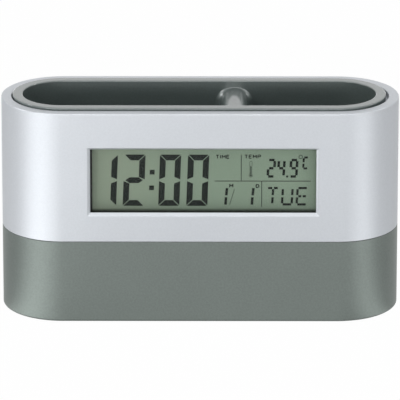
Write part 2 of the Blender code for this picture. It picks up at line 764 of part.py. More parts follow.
def cells_and_contacts():
    """Two AAA cells, head to tail, and the sheet and spring contacts at their ends."""
    for number, (y, way) in enumerate(zip(CELL_Y, (1, -1)), 1):
        nub = (way * NUB_X, y, CELL_Z)
        shoulder = (way * (NUB_X - NUB_LENGTH), y, CELL_Z)
        foot = (way * (NUB_X - NUB_LENGTH - CELL_LENGTH), y, CELL_Z)
        cell = part(f"battery_{number}", rod(shoulder, foot, CELL_RADIUS, sides=24), CELL_JACKET)
        inside = (way * (NUB_X - NUB_LENGTH - 1), y, CELL_Z)
        join(cell, rod(inside, nub, NUB_RADIUS, sides=12))
    spring_end = NUB_X - NUB_LENGTH - CELL_LENGTH - GAP
    link = part("link_contact", box((-PLATE_X[1], -PLATE_X[0]), LINK_Y, PLATE_Z), STEEL)
    join(link, coil(-SPRING_X, spring_end, CELL_Y[0]))
    for name, y in (("positive_contact", CELL_Y[0]), ("negative_contact", CELL_Y[1])):
        contact = part(name, box(PLATE_X, (y - PLATE_HALF, y + PLATE_HALF), PLATE_Z), STEEL)
        join(contact, box(PLATE_X, (y - SOLDER_TAB_HALF, y + SOLDER_TAB_HALF), SOLDER_TAB_Z))
        if name == "negative_contact":
            join(contact, coil(SPRING_X, -spring_end, y))


def battery_door():
    """Flat door with two tabs hooked behind the front edge and a tongue at the back."""
    hinge = (0.0, DOOR_Y[0], DOOR_Z[0])
    door = part("battery_door", box((-DOOR_X, DOOR_X), DOOR_Y, DOOR_Z), DARK_GREY, hinge)
    for x in (-TAB_X, TAB_X):
        join(door, prism(HOOK, "X", x - TAB_WIDTH / 2, x + TAB_WIDTH / 2))
    join(door, prism(TONGUE, "X", -TONGUE_HALF, TONGUE_HALF))
    half_x, half_y = GRIP_HALF
    for y in GRIP_Y:
        cut(door, box((-half_x, half_x), (y - half_y, y + half_y), (0.0, DOOR_Z[0] + GRIP_DEPTH)))


def buttons():
    """Four caps, the rubber sheet that springs them back, and the small board behind it."""
    flange = (BACK_Y - WALL - GAP - BUTTON_FLANGE, BACK_Y - WALL - GAP)
    width, height = BUTTON_SIZE
    for number, x in enumerate(BUTTON_X, 1):
        cap = rounded_rect((x, BUTTON_Z), BUTTON_SIZE, height / 2 - 0.05)
        body = prism(cap, "Y", flange[0] + 0.2, BACK_Y - 0.5)
        button = part(f"button_{number}", body, DARK_GREY, (x, BACK_Y - WALL, BUTTON_Z))
        crown = rounded_rect((x, BUTTON_Z), (width - 0.6, height - 0.6), height / 2 - 0.4)
        join(button, prism(crown, "Y", BACK_Y - 1, BACK_Y - 0.2))
        plate = rounded_rect((x, BUTTON_Z), (width + 2.2, height + 2.2), height / 2)
        join(button, prism(plate, "Y", *flange))
    pad = part("rubber_keypad", box((-KEYPAD_X, KEYPAD_X), KEYPAD_Y, KEYPAD_Z), RUBBER)
    dome_top = flange[0] - GAP
    for x in BUTTON_X:
        join(pad, rod((x, KEYPAD_Y[1] - 0.3, BUTTON_Z), (x, dome_top, BUTTON_Z), *DOME_RADII))
    for x in BUTTON_X:
        hollow = (x, KEYPAD_Y[0] - 0.5, BUTTON_Z), (x, dome_top - DOME_WALL, BUTTON_Z)
        cut(pad, rod(*hollow, *DOME_HOLLOW))
    board = part("key_board", box((-KEY_BOARD_X, KEY_BOARD_X), KEY_BOARD_Y, KEY_BOARD_Z), CIRCUIT_GREEN)
    places = [(x, KEY_BOARD_Y[0] - GAP, BUTTON_Z) for x in (-KEY_SCREW_X, KEY_SCREW_X)]
    for x, y, z in places:
        cut(board, rod((x, y - 1, z), (x, KEY_BOARD_Y[1] + 1, z), 1.25, sides=12))
    pattern = screw("key_screw", *KEY_SCREW, STEEL)
    place_screws(pattern, "key_screw", places, (math.pi / 2, 0.0, 0.0))


def sounder():
    """Brass disc with a smaller ceramic disc on it."""
    x, y = SOUNDER
    low, high = SOUNDER_Z
    disc = part("alarm_sounder", rod((x, y, low), (x, y, high), SOUNDER_RADIUS, sides=20), BRASS)
    join(disc, rod((x, y, high - 0.2), (x, y, CERAMIC_TOP), CERAMIC_RADIUS, sides=20))


def leads():
    """The wires and the flat cable, each led up in front of the cup to the board's lower edge."""
    for name, start, x, finish in (
        ("battery_lead_positive", POSITIVE_LEAD, POSITIVE_RISE_X, RED),
        ("battery_lead_negative", NEGATIVE_LEAD, NEGATIVE_RISE_X, BLACK),
    ):
        wire(name, [*start, *((x, y, z) for y, z in LEAD_RISE)], LEAD_RADIUS, finish)
    for name, side, finish in (("sounder_lead_1", -1, RED), ("sounder_lead_2", 1, WHITE)):
        x = SOUNDER[0] + side * SOUNDER_LEAD_SHIFT
        route = [(x, y, z) for y, z in (*SOUNDER_LEAD, *LEAD_RISE)]
        wire(name, route, SOUNDER_LEAD_RADIUS, finish)
    flat_cable()


def flat_cable():
    """Ribbon from the key board, under the cup and up to the clock board: a strip in the YZ plane."""
    middle = smooth_route([(0.0, y, z) for y, z in RIBBON_ROUTE], 2.5)
    outline = []
    for side in (1, -1):
        edge = []
        for number, point in enumerate(middle):
            before = middle[max(number - 1, 0)]
            after = middle[min(number + 1, len(middle) - 1)]
            out = (after - before).normalized() * RIBBON_HALF * side
            edge.append((point.y - out.z, point.z + out.y))
        outline += edge if side == 1 else edge[::-1]
    part("key_ribbon", prism(outline, "X", *RIBBON_X), WHITE)


def feet_and_base_screws():
    for number, (x, y) in enumerate(FEET, 1):
        top = (x, y, FLOOR_BOTTOM + 0.3)
        foot = rod((x, y, 0.0), top, FOOT_RADIUS - FOOT_TAPER, FOOT_RADIUS, sides=20)
        part(f"foot_{number}", foot, RUBBER)
    pattern = screw("base_screw", *BASE_SCREW, STEEL)
    places = [(x, y, BASE_SCREW_SEAT) for x, y in BASE_SCREWS]
    place_screws(pattern, "base_screw", places, (math.pi, 0.0, 0.0))


clear_scene()
PARTS = new_collection("pen_holder_clock")
CUTTERS = new_collection("cutters")
upper_housing()
base_housing()
pen_cup()
display_module()
clock_board()
cells_and_contacts()
battery_door()
buttons()
sounder()
leads()
feet_and_base_screws()
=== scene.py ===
"""Pen holder clock: an upright desk pen cup with rounded ends and a liquid-crystal clock in its front.

Every piece is made in the clock's own frame: it stands on its feet at z = 0, centred on the origin, with
the display facing -Y. Shapes are drawn in millimetres and become metres as they are made.
"""

import math
from types import SimpleNamespace

import bmesh
import bpy
from mathutils import Matrix, Vector


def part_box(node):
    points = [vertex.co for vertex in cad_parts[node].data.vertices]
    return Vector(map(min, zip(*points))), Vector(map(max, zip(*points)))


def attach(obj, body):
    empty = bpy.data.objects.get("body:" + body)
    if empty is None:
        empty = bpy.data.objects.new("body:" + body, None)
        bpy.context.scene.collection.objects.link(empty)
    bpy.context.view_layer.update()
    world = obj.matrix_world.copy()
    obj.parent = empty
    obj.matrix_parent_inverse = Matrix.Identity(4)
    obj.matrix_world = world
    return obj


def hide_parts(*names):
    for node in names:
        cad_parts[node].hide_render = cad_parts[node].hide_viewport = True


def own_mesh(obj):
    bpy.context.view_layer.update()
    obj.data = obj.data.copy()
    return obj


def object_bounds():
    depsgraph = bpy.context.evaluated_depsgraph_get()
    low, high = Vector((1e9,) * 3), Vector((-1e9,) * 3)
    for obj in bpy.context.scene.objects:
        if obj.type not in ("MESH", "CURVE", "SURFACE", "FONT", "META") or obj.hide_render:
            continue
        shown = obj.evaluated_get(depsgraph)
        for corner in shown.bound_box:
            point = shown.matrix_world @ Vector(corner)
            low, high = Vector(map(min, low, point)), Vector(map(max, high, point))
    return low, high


bl_info = {
    "name": "Pen Holder Clock",
    "version": (1, 0, 0),
    "blender": (4, 5, 0),
    "location": "View3D > Sidebar > Clock",
    "description": "Builds a pen holder clock piece by piece on its packed frame",
    "category": "Add Mesh",
}

MM = 0.001
WELD = 1e-4 * MM  # Points nearer than this are one
CUT_WELD = 5e-4 * MM  # The same after a Boolean
END_STEPS = 48  # Steps round each of the body's half-round ends
SHARP = math.radians(38.0)  # Edges that turn more than this stay sharp, or are rounded where asked

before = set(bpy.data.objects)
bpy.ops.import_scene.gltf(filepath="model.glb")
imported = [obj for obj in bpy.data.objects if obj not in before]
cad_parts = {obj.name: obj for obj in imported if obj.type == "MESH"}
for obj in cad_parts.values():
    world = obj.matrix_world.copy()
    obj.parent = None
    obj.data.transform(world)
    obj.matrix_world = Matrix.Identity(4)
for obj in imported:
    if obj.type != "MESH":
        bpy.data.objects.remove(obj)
CAD_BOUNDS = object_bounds()


def corners(node):
    """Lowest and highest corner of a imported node, in millimetres."""
    low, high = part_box(node)
    return low / MM, high / MM


def middle_of(node):
    low, high = corners(node)
    return (low + high) / 2


def middles(stem, count=4):
    """Middle of each of the numbered nodes that share a name."""
    return [middle_of(f"{stem}_{number}") for number in range(1, count + 1)]


def linear(*channels):
    """An sRGB colour, 0 to 255, as the scene-linear colour that shaders take."""
    values = [channel / 255 for channel in channels]
    return tuple(v / 12.92 if v <= 0.04045 else ((v + 0.055) / 1.055) ** 2.4 for v in values)


def length(name, description, millimetres):
    return bpy.props.FloatProperty(
        name=name,
        description=description,
        default=millimetres * MM,
        precision=5,
        unit="LENGTH",
    )


def colour(name, description, *channels):
    return bpy.props.FloatVectorProperty(
        name=name,
        description=description,
        default=linear(*channels),
        min=0.0,
        max=1.0,
        size=3,
        subtype="COLOR",
    )


def amount(name, description, default, low=0.0, high=100.0):
    return bpy.props.FloatProperty(name=name, description=description, default=default, min=low, max=high)


class ClockSizes(bpy.types.PropertyGroup):
    """Sizes of the pieces that a user would change."""

    body_length: length("Body length", "Overall length from end to end", CAD_BOUNDS[1].x * 2 / MM)
    body_depth: length("Body depth", "Front to back; the ends are half rounds of this width", 46.6)
    wall: length("Wall", "Wall thickness of the sleeve and the base", 2.2)
    sleeve_bottom: length("Sleeve bottom", "Lower edge of the silver sleeve", 33.05)
    sleeve_top: length("Sleeve top", "Upper face of the sleeve's lip", 83.65)
    lip_round: length("Lip round", "Radius of the lip's outer edge", 0.45)
    lip_width: length("Lip width", "Width of the lip's flat top", 3.9)
    ledge_width: length("Ledge width", "How far the ledge under the rim reaches in", 6.4)
    ledge_top: length("Ledge top", "Upper face of the ledge", 81.5)
    ledge_bottom: length("Ledge bottom", "Lower edge of the ledge", 79.5)
    base_bottom: length("Base bottom", "Underside of the base above the table", corners("base_housing")[0].z)
    base_top: length("Base top", "Upper edge of the base at the seam", 32.9)
    base_round: length("Base round", "Radius of the base's lower edge", 1.0)
    skirt_top: length("Skirt top", "Top of the skirt that locates the sleeve", corners("base_housing")[1].z)
    floor_top: length("Floor top", "Inside floor of the base", 3.0)
    rim_top: length("Rim top", "Top of the pen cup's rim", corners("pen_cup")[1].z)
    rim_outer: length("Rim outer", "Rim's outer side, measured in from the body's outside", 4.6)
    rim_round: length("Rim round", "Radius of the rim's edges", 0.4)
    cup_offset: length("Cup offset", "Cup wall's outside, measured in from the body's outside", 6.8)
    cup_shift: length("Cup shift", "How far the cup sits to the right of the body's middle", -0.35)
    cup_inner: length("Cup inside", "Cup wall's inside, measured in from the body's outside", 8.4)
    cup_bottom: length("Cup bottom", "Underside of the cup", 20.0)
    cup_floor: length("Cup floor", "Floor that the pens stand on", 21.8)
    cup_flange: length("Cup flange", "Underside of the cup's rim", 81.8)
    setback: length("Set-back", "Inside of the cup's front wall below its shoulder, along Y", -9.6)
    setback_top: length("Set-back top", "Where the shoulder starts to lean out", 74.0)
    shoulder_top: length("Shoulder top", "Where the shoulder ends below the rim", 81.4)
    shoulder_run: length("Shoulder run", "How far the shoulder leans out", 5.6)
    divider_x: length("Divider place", "Middle of the divider along X", 12.95)
    divider_half: length("Divider half", "Half the divider's thickness", 5.3)
    divider_crown: length("Divider crown", "Height where the divider's round top starts", 75.65)
    divider_rise: length("Divider rise", "How far the round top rises above its start", 5.75)
    divider_flare: length("Divider flare", "Radius of the flare at the back wall", 1.75)
    window_left: length("Window left", "Left edge of the display opening in front", -42.3)
    window_right: length("Window right", "Right edge of the display opening in front", 44.9)
    window_bottom: length("Window bottom", "Lower edge of the display opening in front", 43.3)
    window_top: length("Window top", "Upper edge of the display opening in front", 70.1)
    window_bevel: length("Window bevel", "Depth of the bevel that frames the display opening", 1.0)
    digit_height: length("Digit height", "Height of the large time digits", 20.3)
    digit_width: length("Digit width", "Width of the large time digits", 7.95)
    digit_stroke: length("Digit stroke", "Thickness of the large time digits' segments", 2.25)
    button_width: length("Button width", "Width of a button's cap", 8.0)
    button_height: length("Button height", "Height of a button's cap", 4.6)


class ClockColours(bpy.types.PropertyGroup):
    """Colours of the finishes."""

    silver: colour("Silver", "Satin silver paint of the sleeve", 205, 209, 214)
    grey: colour("Dark grey", "Metallic grey plastic of base, door and buttons", 118, 126, 122)
    cup: colour("Cup", "Grey plastic of the pen cup", 106, 117, 115)
    black: colour("Black", "Matt black plastic and foam", 20, 20, 21)
    display: colour("Display", "Unlit liquid-crystal face", 152, 173, 151)
    ink: colour("Ink", "Lit segments", 14, 22, 18)
    rubber: colour("Rubber", "Feet and key sheet", 42, 43, 44)
    board: colour("Board", "Solder mask", 30, 92, 56)
    steel: colour("Steel", "Nickel-plated steel", 196, 196, 192)
    brass: colour("Brass", "Sounder disc", 206, 172, 96)
    jacket: colour("Cell jacket", "Film round the cells", 58, 84, 114)
    red: colour("Red", "Insulation of the positive leads", 176, 32, 28)
    pale: colour("Pale", "White insulation, ceramic and zebra strips", 222, 220, 212)
    floor: colour("Floor", "Plain pale floor", 250, 250, 250)


class ClockStage(bpy.types.PropertyGroup):
    """Light levels, where 1 is as bright as white paper, and the camera."""

    ambient: amount("Ambient", "Plain white light from all round", 0.1)
    left_card: amount("Left card", "Glowing card on the table at the front left", 1.38)
    right_card: amount("Right card", "Glowing card on the table at the front right", 0.88)
    front: amount("Front light", "Low wide soft box behind the camera", 4.3)
    overhead_front: amount("Front overhead light", "Soft box above and in front", 1.0)
    back: amount("Back light", "Low soft box behind", 2.5)
    left_box: amount("Left box", "Narrow soft box at the front left", 8.0)
    right_box: amount("Right box", "Soft box at the front right", 1.1)
    left_side: amount("Left side light", "Small soft box to the left", 32.0)
    right_side: amount("Right side light", "Small soft box to the right", 15.0)
    lens: amount("Lens", "Focal length in millimetres on a 36 mm sensor", 501.64, 10.0, 1000.0)


def in_millimetres(group):
    """A group's lengths as plain numbers of millimetres."""
    return SimpleNamespace(**{name: getattr(group, name) / MM for name in type(group).__annotations__})


# Shapes


def arc(centre, radius, start, end, steps):
    """Points along an arc, with its angles in degrees."""
    turns = [math.radians(start + (end - start) * step / steps) for step in range(steps + 1)]
    return [(centre[0] + radius * math.cos(t), centre[1] + radius * math.sin(t)) for t in turns]


def eased(outline, closed=True, steps=6):
    """An outline whose corners (u, v, radius) are each rounded to their own radius."""
    points = []
    for number, (u, v, radius) in enumerate(outline):
        here = Vector((u, v))
        if not radius or (not closed and number in (0, len(outline) - 1)):
            points.append((u, v))
            continue
        before = (Vector(outline[number - 1][:2]) - here).normalized()
        after = (Vector(outline[(number + 1) % len(outline)][:2]) - here).normalized()
        half = before.angle(after) / 2
        centre = here + (before + after).normalized() * radius / math.sin(half)
        start = here + before * radius / math.tan(half) - centre
        end = here + after * radius / math.tan(half) - centre
        turns = [start.slerp(end, step / steps).normalized() for step in range(steps + 1)]
        points += [tuple(centre + turn * radius) for turn in turns]
    return points


def rounded_rect(centre, size, radius):
    """A rectangle with round corners."""
    u, v = size[0] / 2, size[1] / 2
    around = ((1, 1), (-1, 1), (-1, -1), (1, -1))
    outline = [(centre[0] + a * u, centre[1] + b * v, min(radius, u - 0.01, v - 0.01)) for a, b in around]
    return eased(outline, steps=8)


def lofted(rings, closed=False):
    """Skin over rings of points; an open skin gets a flat face at each end."""
    shape = bmesh.new()
    rows = [[shape.verts.new(Vector(point) * MM) for point in ring] for ring in rings]
    for near, far in zip(rows, rows[1:] + rows[:1] if closed else rows[1:]):
        for a, b, c, d in zip(near, near[1:] + near[:1], far[1:] + far[:1], far):
            shape.faces.new((a, b, c, d))
    if not closed:
        shape.faces.new(rows[0])
        shape.faces.new(rows[-1])
    bmesh.ops.remove_doubles(shape, verts=shape.verts, dist=WELD)
    return shape


def placed(u, v, along, axis):
    """A point from two flat coordinates and one along an axis."""
    return {"X": (along, u, v), "Y": (u, along, v), "Z": (u, v, along)}[axis]


def prism(outline, axis, low, high):
    """A flat outline carried along an axis."""
    return lofted([[placed(u, v, along, axis) for u, v in outline] for along in (low, high)])


def stacked(levels, axis):
    """A skin over outlines at different places along an axis."""
    return lofted([[placed(u, v, along, axis) for u, v in outline] for along, outline in levels])


def box(x, y, z):
    return prism([(x[0], y[0]), (x[1], y[0]), (x[1], y[1]), (x[0], y[1])], "Z", *z)


def turned(profile, centre, axis="Z", sides=40):
    """A profile of (place along the axis, radius) turned round that axis."""
    rounds = [(along, arc(centre, radius, 0, 360, sides)[:-1]) for along, radius in profile]
    return stacked(rounds, axis)


def rod(centre, radius, low, high, axis="Z", sides=32):
    return turned([(low, radius), (high, radius)], centre, axis, sides)


def plan(size, offset):
    """The body's rounded-end outline, drawn in by an offset."""
    radius = size.body_depth / 2
    end = size.body_length / 2 - radius
    right = arc((end, 0.0), radius - offset, -90, 90, END_STEPS)
    return right + arc((-end, 0.0), radius - offset, 90, 270, END_STEPS)


def swept(size, profile, closed=True):
    """Carry a profile of (offset inwards, height) round the body's plan."""
    rings = [[(x, y, height) for x, y in plan(size, offset)] for offset, height in profile]
    return lofted(rings, closed)


def tube(points, radius, sides):
    """A round wire along points, held square to its way."""
    points = [Vector(point) for point in points]
    ways = [(b - a).normalized() for a, b in zip(points, points[1:])]
    ways = [ways[0], *((a + b).normalized() for a, b in zip(ways, ways[1:])), ways[-1]]
    side = ways[0].orthogonal().normalized()
    rings = []
    for point, way in zip(points, ways):
        side = (side - way * side.dot(way)).normalized()
        up = way.cross(side)
        turns = [2 * math.pi * number / sides for number in range(sides)]
        rings.append([point + (side * math.cos(t) + up * math.sin(t)) * radius for t in turns])
    return lofted(rings)


def gathered(*shapes):
    """Several shapes as one mesh, side by side."""
    whole = bmesh.new()
    for shape in shapes:
        bmesh.ops.recalc_face_normals(shape, faces=shape.faces)
        mesh = bpy.data.meshes.new("gathered")
        shape.to_mesh(mesh)
        shape.free()
        whole.from_mesh(mesh)
        bpy.data.meshes.remove(mesh)
    return whole


def boolean(shape, other, operation):
    """The outcome of a Boolean between two closed shapes."""
    pair = []
    for part in (shape, other):
        bmesh.ops.recalc_face_normals(part, faces=part.faces)
        mesh = bpy.data.meshes.new("boolean")
        part.to_mesh(mesh)
        part.free()
        pair.append(bpy.data.objects.new("boolean", mesh))
        bpy.context.scene.collection.objects.link(pair[-1])
    modifier = pair[0].modifiers.new("boolean", "BOOLEAN")
    modifier.operation = operation
    modifier.solver = "EXACT"
    modifier.object = pair[1]
    graph = bpy.context.evaluated_depsgraph_get()
    outcome = pair[0].evaluated_get(graph)
    result = bmesh.new()
    result.from_mesh(outcome.to_mesh())
    outcome.to_mesh_clear()
    for helper in pair:
        mesh = helper.data
        bpy.data.objects.remove(helper)
        bpy.data.meshes.remove(mesh)
    if not result.faces:
        raise RuntimeError("a Boolean left nothing")
    bmesh.ops.remove_doubles(result, verts=result.verts, dist=CUT_WELD)
    bmesh.ops.dissolve_degenerate(result, edges=result.edges, dist=CUT_WELD)
    return result


def less(shape, *cutters):
    return boolean(shape, gathered(*cutters), "DIFFERENCE")


def plus(shape, *others):
    for other in others:
        shape = boolean(shape, other, "UNION")
    return shape


def soften(shape, radius, chosen):
    """Round the sharp edges whose middle, in millimetres, passes a test."""
    edges = [
        edge
        for edge in shape.edges
        if len(edge.link_faces) == 2
        and edge.calc_face_angle(0.0) > SHARP
        and chosen((edge.verts[0].co + edge.verts[1].co) / 2 / MM)
    ]
    bmesh.ops.bevel(
        shape,
        geom=edges,
        offset=radius * MM,
        offset_type="OFFSET",
        segments=3,
        profile=0.5,
        affect="EDGES",
        clamp_overlap=True,
    )
    return shape


def piece(name, shape, finish, replaces=(), body="clock"):
    """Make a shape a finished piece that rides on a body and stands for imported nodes."""
    bmesh.ops.recalc_face_normals(shape, faces=shape.faces)
    mesh = bpy.data.meshes.new(name)
    shape.to_mesh(mesh)
    shape.free()
    mesh.shade_smooth()
    mesh.set_sharp_from_angle(angle=SHARP)
    for material in finish if isinstance(finish, (list, tuple)) else [finish]:
        mesh.materials.append(material)
    made = bpy.data.objects.new(name, mesh)
    bpy.context.scene.collection.objects.link(made)
    normals = made.modifiers.new("even_shading", "WEIGHTED_NORMAL")
    normals.keep_sharp = True
    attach(made, body)
    if replaces:
        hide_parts(*replaces)
    return made


def dress(node, finish, edge=0.0):
    """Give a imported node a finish, and slightly round edges where asked."""
    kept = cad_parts[node]
    kept.data.materials.clear()
    kept.data.materials.append(finish)
    if edge:
        bevel = kept.modifiers.new("eased_edges", "BEVEL")
        bevel.width = edge * MM
        bevel.segments = 2
        bevel.limit_method = "ANGLE"
        bevel.angle_limit = math.radians(50)


# Finishes

ACRYLIC = linear(128, 136, 131)
WARM_DISPLAY = linear(157, 171, 149)
FAINT_INK = linear(74, 88, 76)
REFLECTOR = linear(168, 176, 160)
DARK_CERAMIC, PALE_CERAMIC = linear(150, 116, 74), linear(186, 150, 102)
SHADOW_TOP, SHADOW_FADE = 44.75, 1.1  # Shadow of the window's lower edge on the display, in millimetres


class Varying:
    """A number that varies over a surface; arithmetic on it adds Math nodes."""

    def __init__(self, graph, socket):
        self.graph = graph
        self.socket = socket

    def maths(self, operation, other=0.5, first=None):
        """A Math node on this value and, for the operations that take one, another."""
        values = {0: self if first is None else first, 1: other}
        made = self.graph.node("Math", {"operation": operation}, values)
        return Varying(self.graph, made.outputs[0])

    def __add__(self, other):
        return self.maths("ADD", other)

    __radd__ = __add__

    def __sub__(self, other):
        return self.maths("SUBTRACT", other)

    def __rsub__(self, other):
        return self.maths("SUBTRACT", self, other)

    def __mul__(self, other):
        return self.maths("MULTIPLY", other)

    __rmul__ = __mul__

    def __truediv__(self, other):
        return self.maths("DIVIDE", other)

    def __rtruediv__(self, other):
        return self.maths("DIVIDE", self, other)

    def __abs__(self):
        return self.maths("ABSOLUTE")

    def between(self, low, high):
        """0 below low, 1 above high, and smooth from one to the other."""
        settings = {"interpolation_type": "SMOOTHSTEP"}
        inputs = {"Value": self, "From Min": low, "From Max": high}
        return Varying(self.graph, self.graph.node("MapRange", settings, inputs).outputs["Result"])


class Graph:
    """A node tree, with one method that adds any node to it."""

    def __init__(self, tree):
        self.tree = tree

    def node(self, kind, settings=None, inputs=None):
        """Add a node: first its settings, then the values or links of its sockets, by name or number."""
        made = self.tree.nodes.new("ShaderNode" + kind)
        for name, value in (settings or {}).items():
            setattr(made, name, value)
        for name, value in (inputs or {}).items():
            self.feed(made.inputs[name], value)
        return made

    def feed(self, socket, value):
        """Link what varies, and write what doesn't."""
        if isinstance(value, Varying):
            value = value.socket
        if isinstance(value, bpy.types.NodeSocket):
            self.tree.links.new(value, socket)
        elif socket.type == "RGBA":
            socket.default_value = (*tuple(value)[:3], 1.0)
        else:
            socket.default_value = value

    def rays(self, *kinds):
        """1 for rays of the named kinds, and 0 for all others."""
        path = self.node("LightPath")
        found = [Varying(self, path.outputs[f"Is {kind} Ray"]) for kind in kinds]
        return sum(found[1:], found[0]).maths("MINIMUM", 1.0)


class Finish(Graph):
    """A material: constants go on its shader's own sockets, and what varies is linked."""

    def __init__(self, name, constants):
        self.material = bpy.data.materials.new(name)
        self.material.use_nodes = True
        super().__init__(self.material.node_tree)
        self.shader = self.tree.nodes["Principled BSDF"]
        for socket, value in constants.items():
            self.feed(self.shader.inputs[socket], value)
        place = self.node("TexCoord").outputs["Object"]
        scaled = self.node("VectorMath", {"operation": "SCALE"}, {0: place, "Scale": 1 / MM})
        self.place = scaled.outputs["Vector"]

    def xyz(self):
        """The three coordinates in millimetres."""
        parts = self.node("SeparateXYZ", None, {0: self.place})
        return [Varying(self, socket) for socket in parts.outputs]

    def noise(self, size, detail=2.0, stretch=(1.0, 1.0, 1.0)):
        """Cloudy values from 0 to 1, with features of a size in millimetres."""
        place = self.node("VectorMath", {"operation": "MULTIPLY"}, {0: self.place, 1: stretch}).outputs[0]
        inputs = {"Vector": place, "Scale": 1 / size, "Detail": detail}
        return Varying(self, self.node("TexNoise", None, inputs).outputs["Fac"])

    def cells(self, size):
        """A random value for each small cell, like flakes lying in paint."""
        inputs = {"Vector": self.place, "Scale": 1 / size}
        colours = self.node("TexVoronoi", {"feature": "F1"}, inputs).outputs["Color"]
        return Varying(self, self.node("SeparateColor", None, {0: colours}).outputs[0])

    def blend(self, factor, first, second):
        """A colour between two, by a factor from 0 to 1."""
        settings = {"data_type": "RGBA", "clamp_factor": True}
        return self.node("Mix", settings, {0: factor, 6: first, 7: second}).outputs[2]

    def tones(self, factor, colour_value, first, second):
        """A blend between two tones of one colour, each given as a multiple of it."""
        return self.blend(factor, shade(colour_value, first), shade(colour_value, second))

    def relief(self, height, depth):
        """A normal from heights between 0 and 1, with its depth in millimetres."""
        return self.node("Bump", None, {"Height": height, "Distance": depth * MM}).outputs["Normal"]

    def surface(self, **varying):
        for name, value in varying.items():
            self.feed(self.shader.inputs[name.replace("_", " ")], value)
        return self.material


def shade(colour_value, factor):
    return tuple(min(channel * factor, 1.0) for channel in colour_value)


def silver_paint(colours):
    """Satin silver paint: fine flakes under a thin clear layer."""
    finish = Finish("silver_paint", {"Metallic": 0.65})
    flakes, speckle, clouds = finish.cells(0.16), finish.noise(0.8), finish.noise(14.0)
    mixed = flakes * 0.4 + speckle.between(0.3, 0.7) * 0.35 + clouds * 0.25
    return finish.surface(
        Base_Color=finish.tones(mixed, colours.silver, 0.955, 1.045),
        Roughness=0.36 + flakes * 0.08,
        Normal=finish.relief(finish.noise(0.3), 0.0025),
    )


def grey_plastic(name, colour_value, roughness=0.38, metallic=0.9, coat=0.0):
    """Moulded grey plastic with a fine metallic grain, under a clear layer where asked."""
    finish = Finish(name, {"Metallic": metallic, "Coat Weight": coat, "Coat Roughness": 0.1, "Coat IOR": 1.9})
    grain, flakes, clouds = finish.noise(0.35, 3.0), finish.cells(0.13), finish.noise(18.0)
    speckle = finish.noise(0.75, 2.0).between(0.3, 0.7)
    mixed = flakes * 0.3 + speckle * 0.4 + clouds * 0.3
    return finish.surface(
        Base_Color=finish.tones(mixed, colour_value, 0.88, 1.12),
        Roughness=roughness - 0.04 + grain * 0.08,
        Normal=finish.relief(grain, 0.006),
    )


def grained(name, colour_value, tones, roughness, grain, depth=0.0, **constants):
    """One colour that a single grain of (size, detail, stretch) shades, dulls and, where asked, lifts."""
    finish = Finish(name, {socket.replace("_", " "): value for socket, value in constants.items()})
    varying = finish.noise(*grain)
    look = {"Base_Color": finish.tones(varying, colour_value, *tones)}
    look["Roughness"] = roughness[0] + varying * roughness[1]
    if depth:
        look["Normal"] = finish.relief(varying, depth)
    return finish.surface(**look)


def black_plastic(name, colours, roughness=0.55):
    return grained(name, colours.black, (0.7, 1.6), (roughness, 0.1), (0.25, 3.0), 0.01)


def epoxy(name, colours, roughness=0.25):
    coat = {"Coat_Weight": 0.3, "Coat_Roughness": 0.1}
    return grained(name, colours.black, (0.7, 1.3), (roughness, 0.15), (2.2, 1.0), 0.12, **coat)


def film(name, colour_value):
    """Thin film or glass plate with a faint brushed direction."""
    return grained(name, colour_value, (0.92, 1.06), (0.3, 0.1), (0.4, 2.0, (0.04, 1.0, 1.0)), 0.002)


def display_ink(name, colour_value):
    """Dark crystal of a lit segment, a little uneven."""
    return grained(name, colour_value, (0.8, 1.25), (0.45, 0.1), (1.6, 1.0), Specular_IOR_Level=0.15)


def clear_acrylic():
    """Polished clear sheet: mostly see-through, with a pale cast and faint moulding waves."""
    finish = Finish("clear_acrylic", {"Base Color": ACRYLIC, "Roughness": 0.04, "IOR": 1.49})
    waves = finish.noise(22.0, 1.0)
    return finish.surface(Alpha=0.03 + waves * 0.02, Normal=finish.relief(waves, 0.004))


def display_face(colours):
    """Grey-green polariser over the cell, darker towards its edges by painted shade: a painted shadow along
    its bottom and a little at its left and right.
    """
    finish = Finish("display_face", {"Specular IOR Level": 0.35})
    x, _, z = finish.xyz()
    low, high = corners("lcd_front_glass")
    middle, half = (low + high) / 2, (high - low) / 2
    # Painted shade: the face darkens near its left and right edges and under the window's lower edge, where
    # the window shades it.
    sides = (abs(x - middle.x) / half.x).between(0.93, 0.975) * 0.12
    painted_shade = (SHADOW_TOP - z).between(0.0, SHADOW_FADE) * 0.75 + sides
    clouds = finish.noise(9.0, 1.0) * 0.3 + finish.noise(0.2, 1.0) * 0.12
    warm = finish.blend((0 - x).between(-10.0, 42.0), colours.display, WARM_DISPLAY)
    toned = finish.blend(clouds, warm, shade(colours.display, 0.86))
    return finish.surface(
        Base_Color=finish.blend(painted_shade, toned, shade(colours.display, 0.1)),
        Roughness=0.45 + clouds * 0.1,
    )


def rubber(name, colours):
    """Soft rubber with a fine grain and a little dust."""
    finish = Finish(name, {"Sheen Weight": 0.08})
    grain, dust = finish.noise(0.3, 3.0), finish.noise(3.0)
    return finish.surface(
        Base_Color=finish.tones(grain * 0.5 + dust * 0.5, colours.rubber, 0.8, 1.3),
        Roughness=0.75 + grain * 0.12,
        Normal=finish.relief(grain, 0.02),
    )


def zebra_strip(colours):
    """Elastomer with fine conducting stripes across it."""
    finish = Finish("zebra_strip", {"Roughness": 0.7})
    stripes = finish.node(
        "TexWave", {"wave_type": "BANDS", "bands_direction": "X"}, {"Vector": finish.place, "Scale": 0.9}
    )
    bands = Varying(finish, stripes.outputs["Fac"]).between(0.35, 0.65)
    return finish.surface(Base_Color=finish.blend(bands, colours.pale, shade(colours.black, 2.0)))


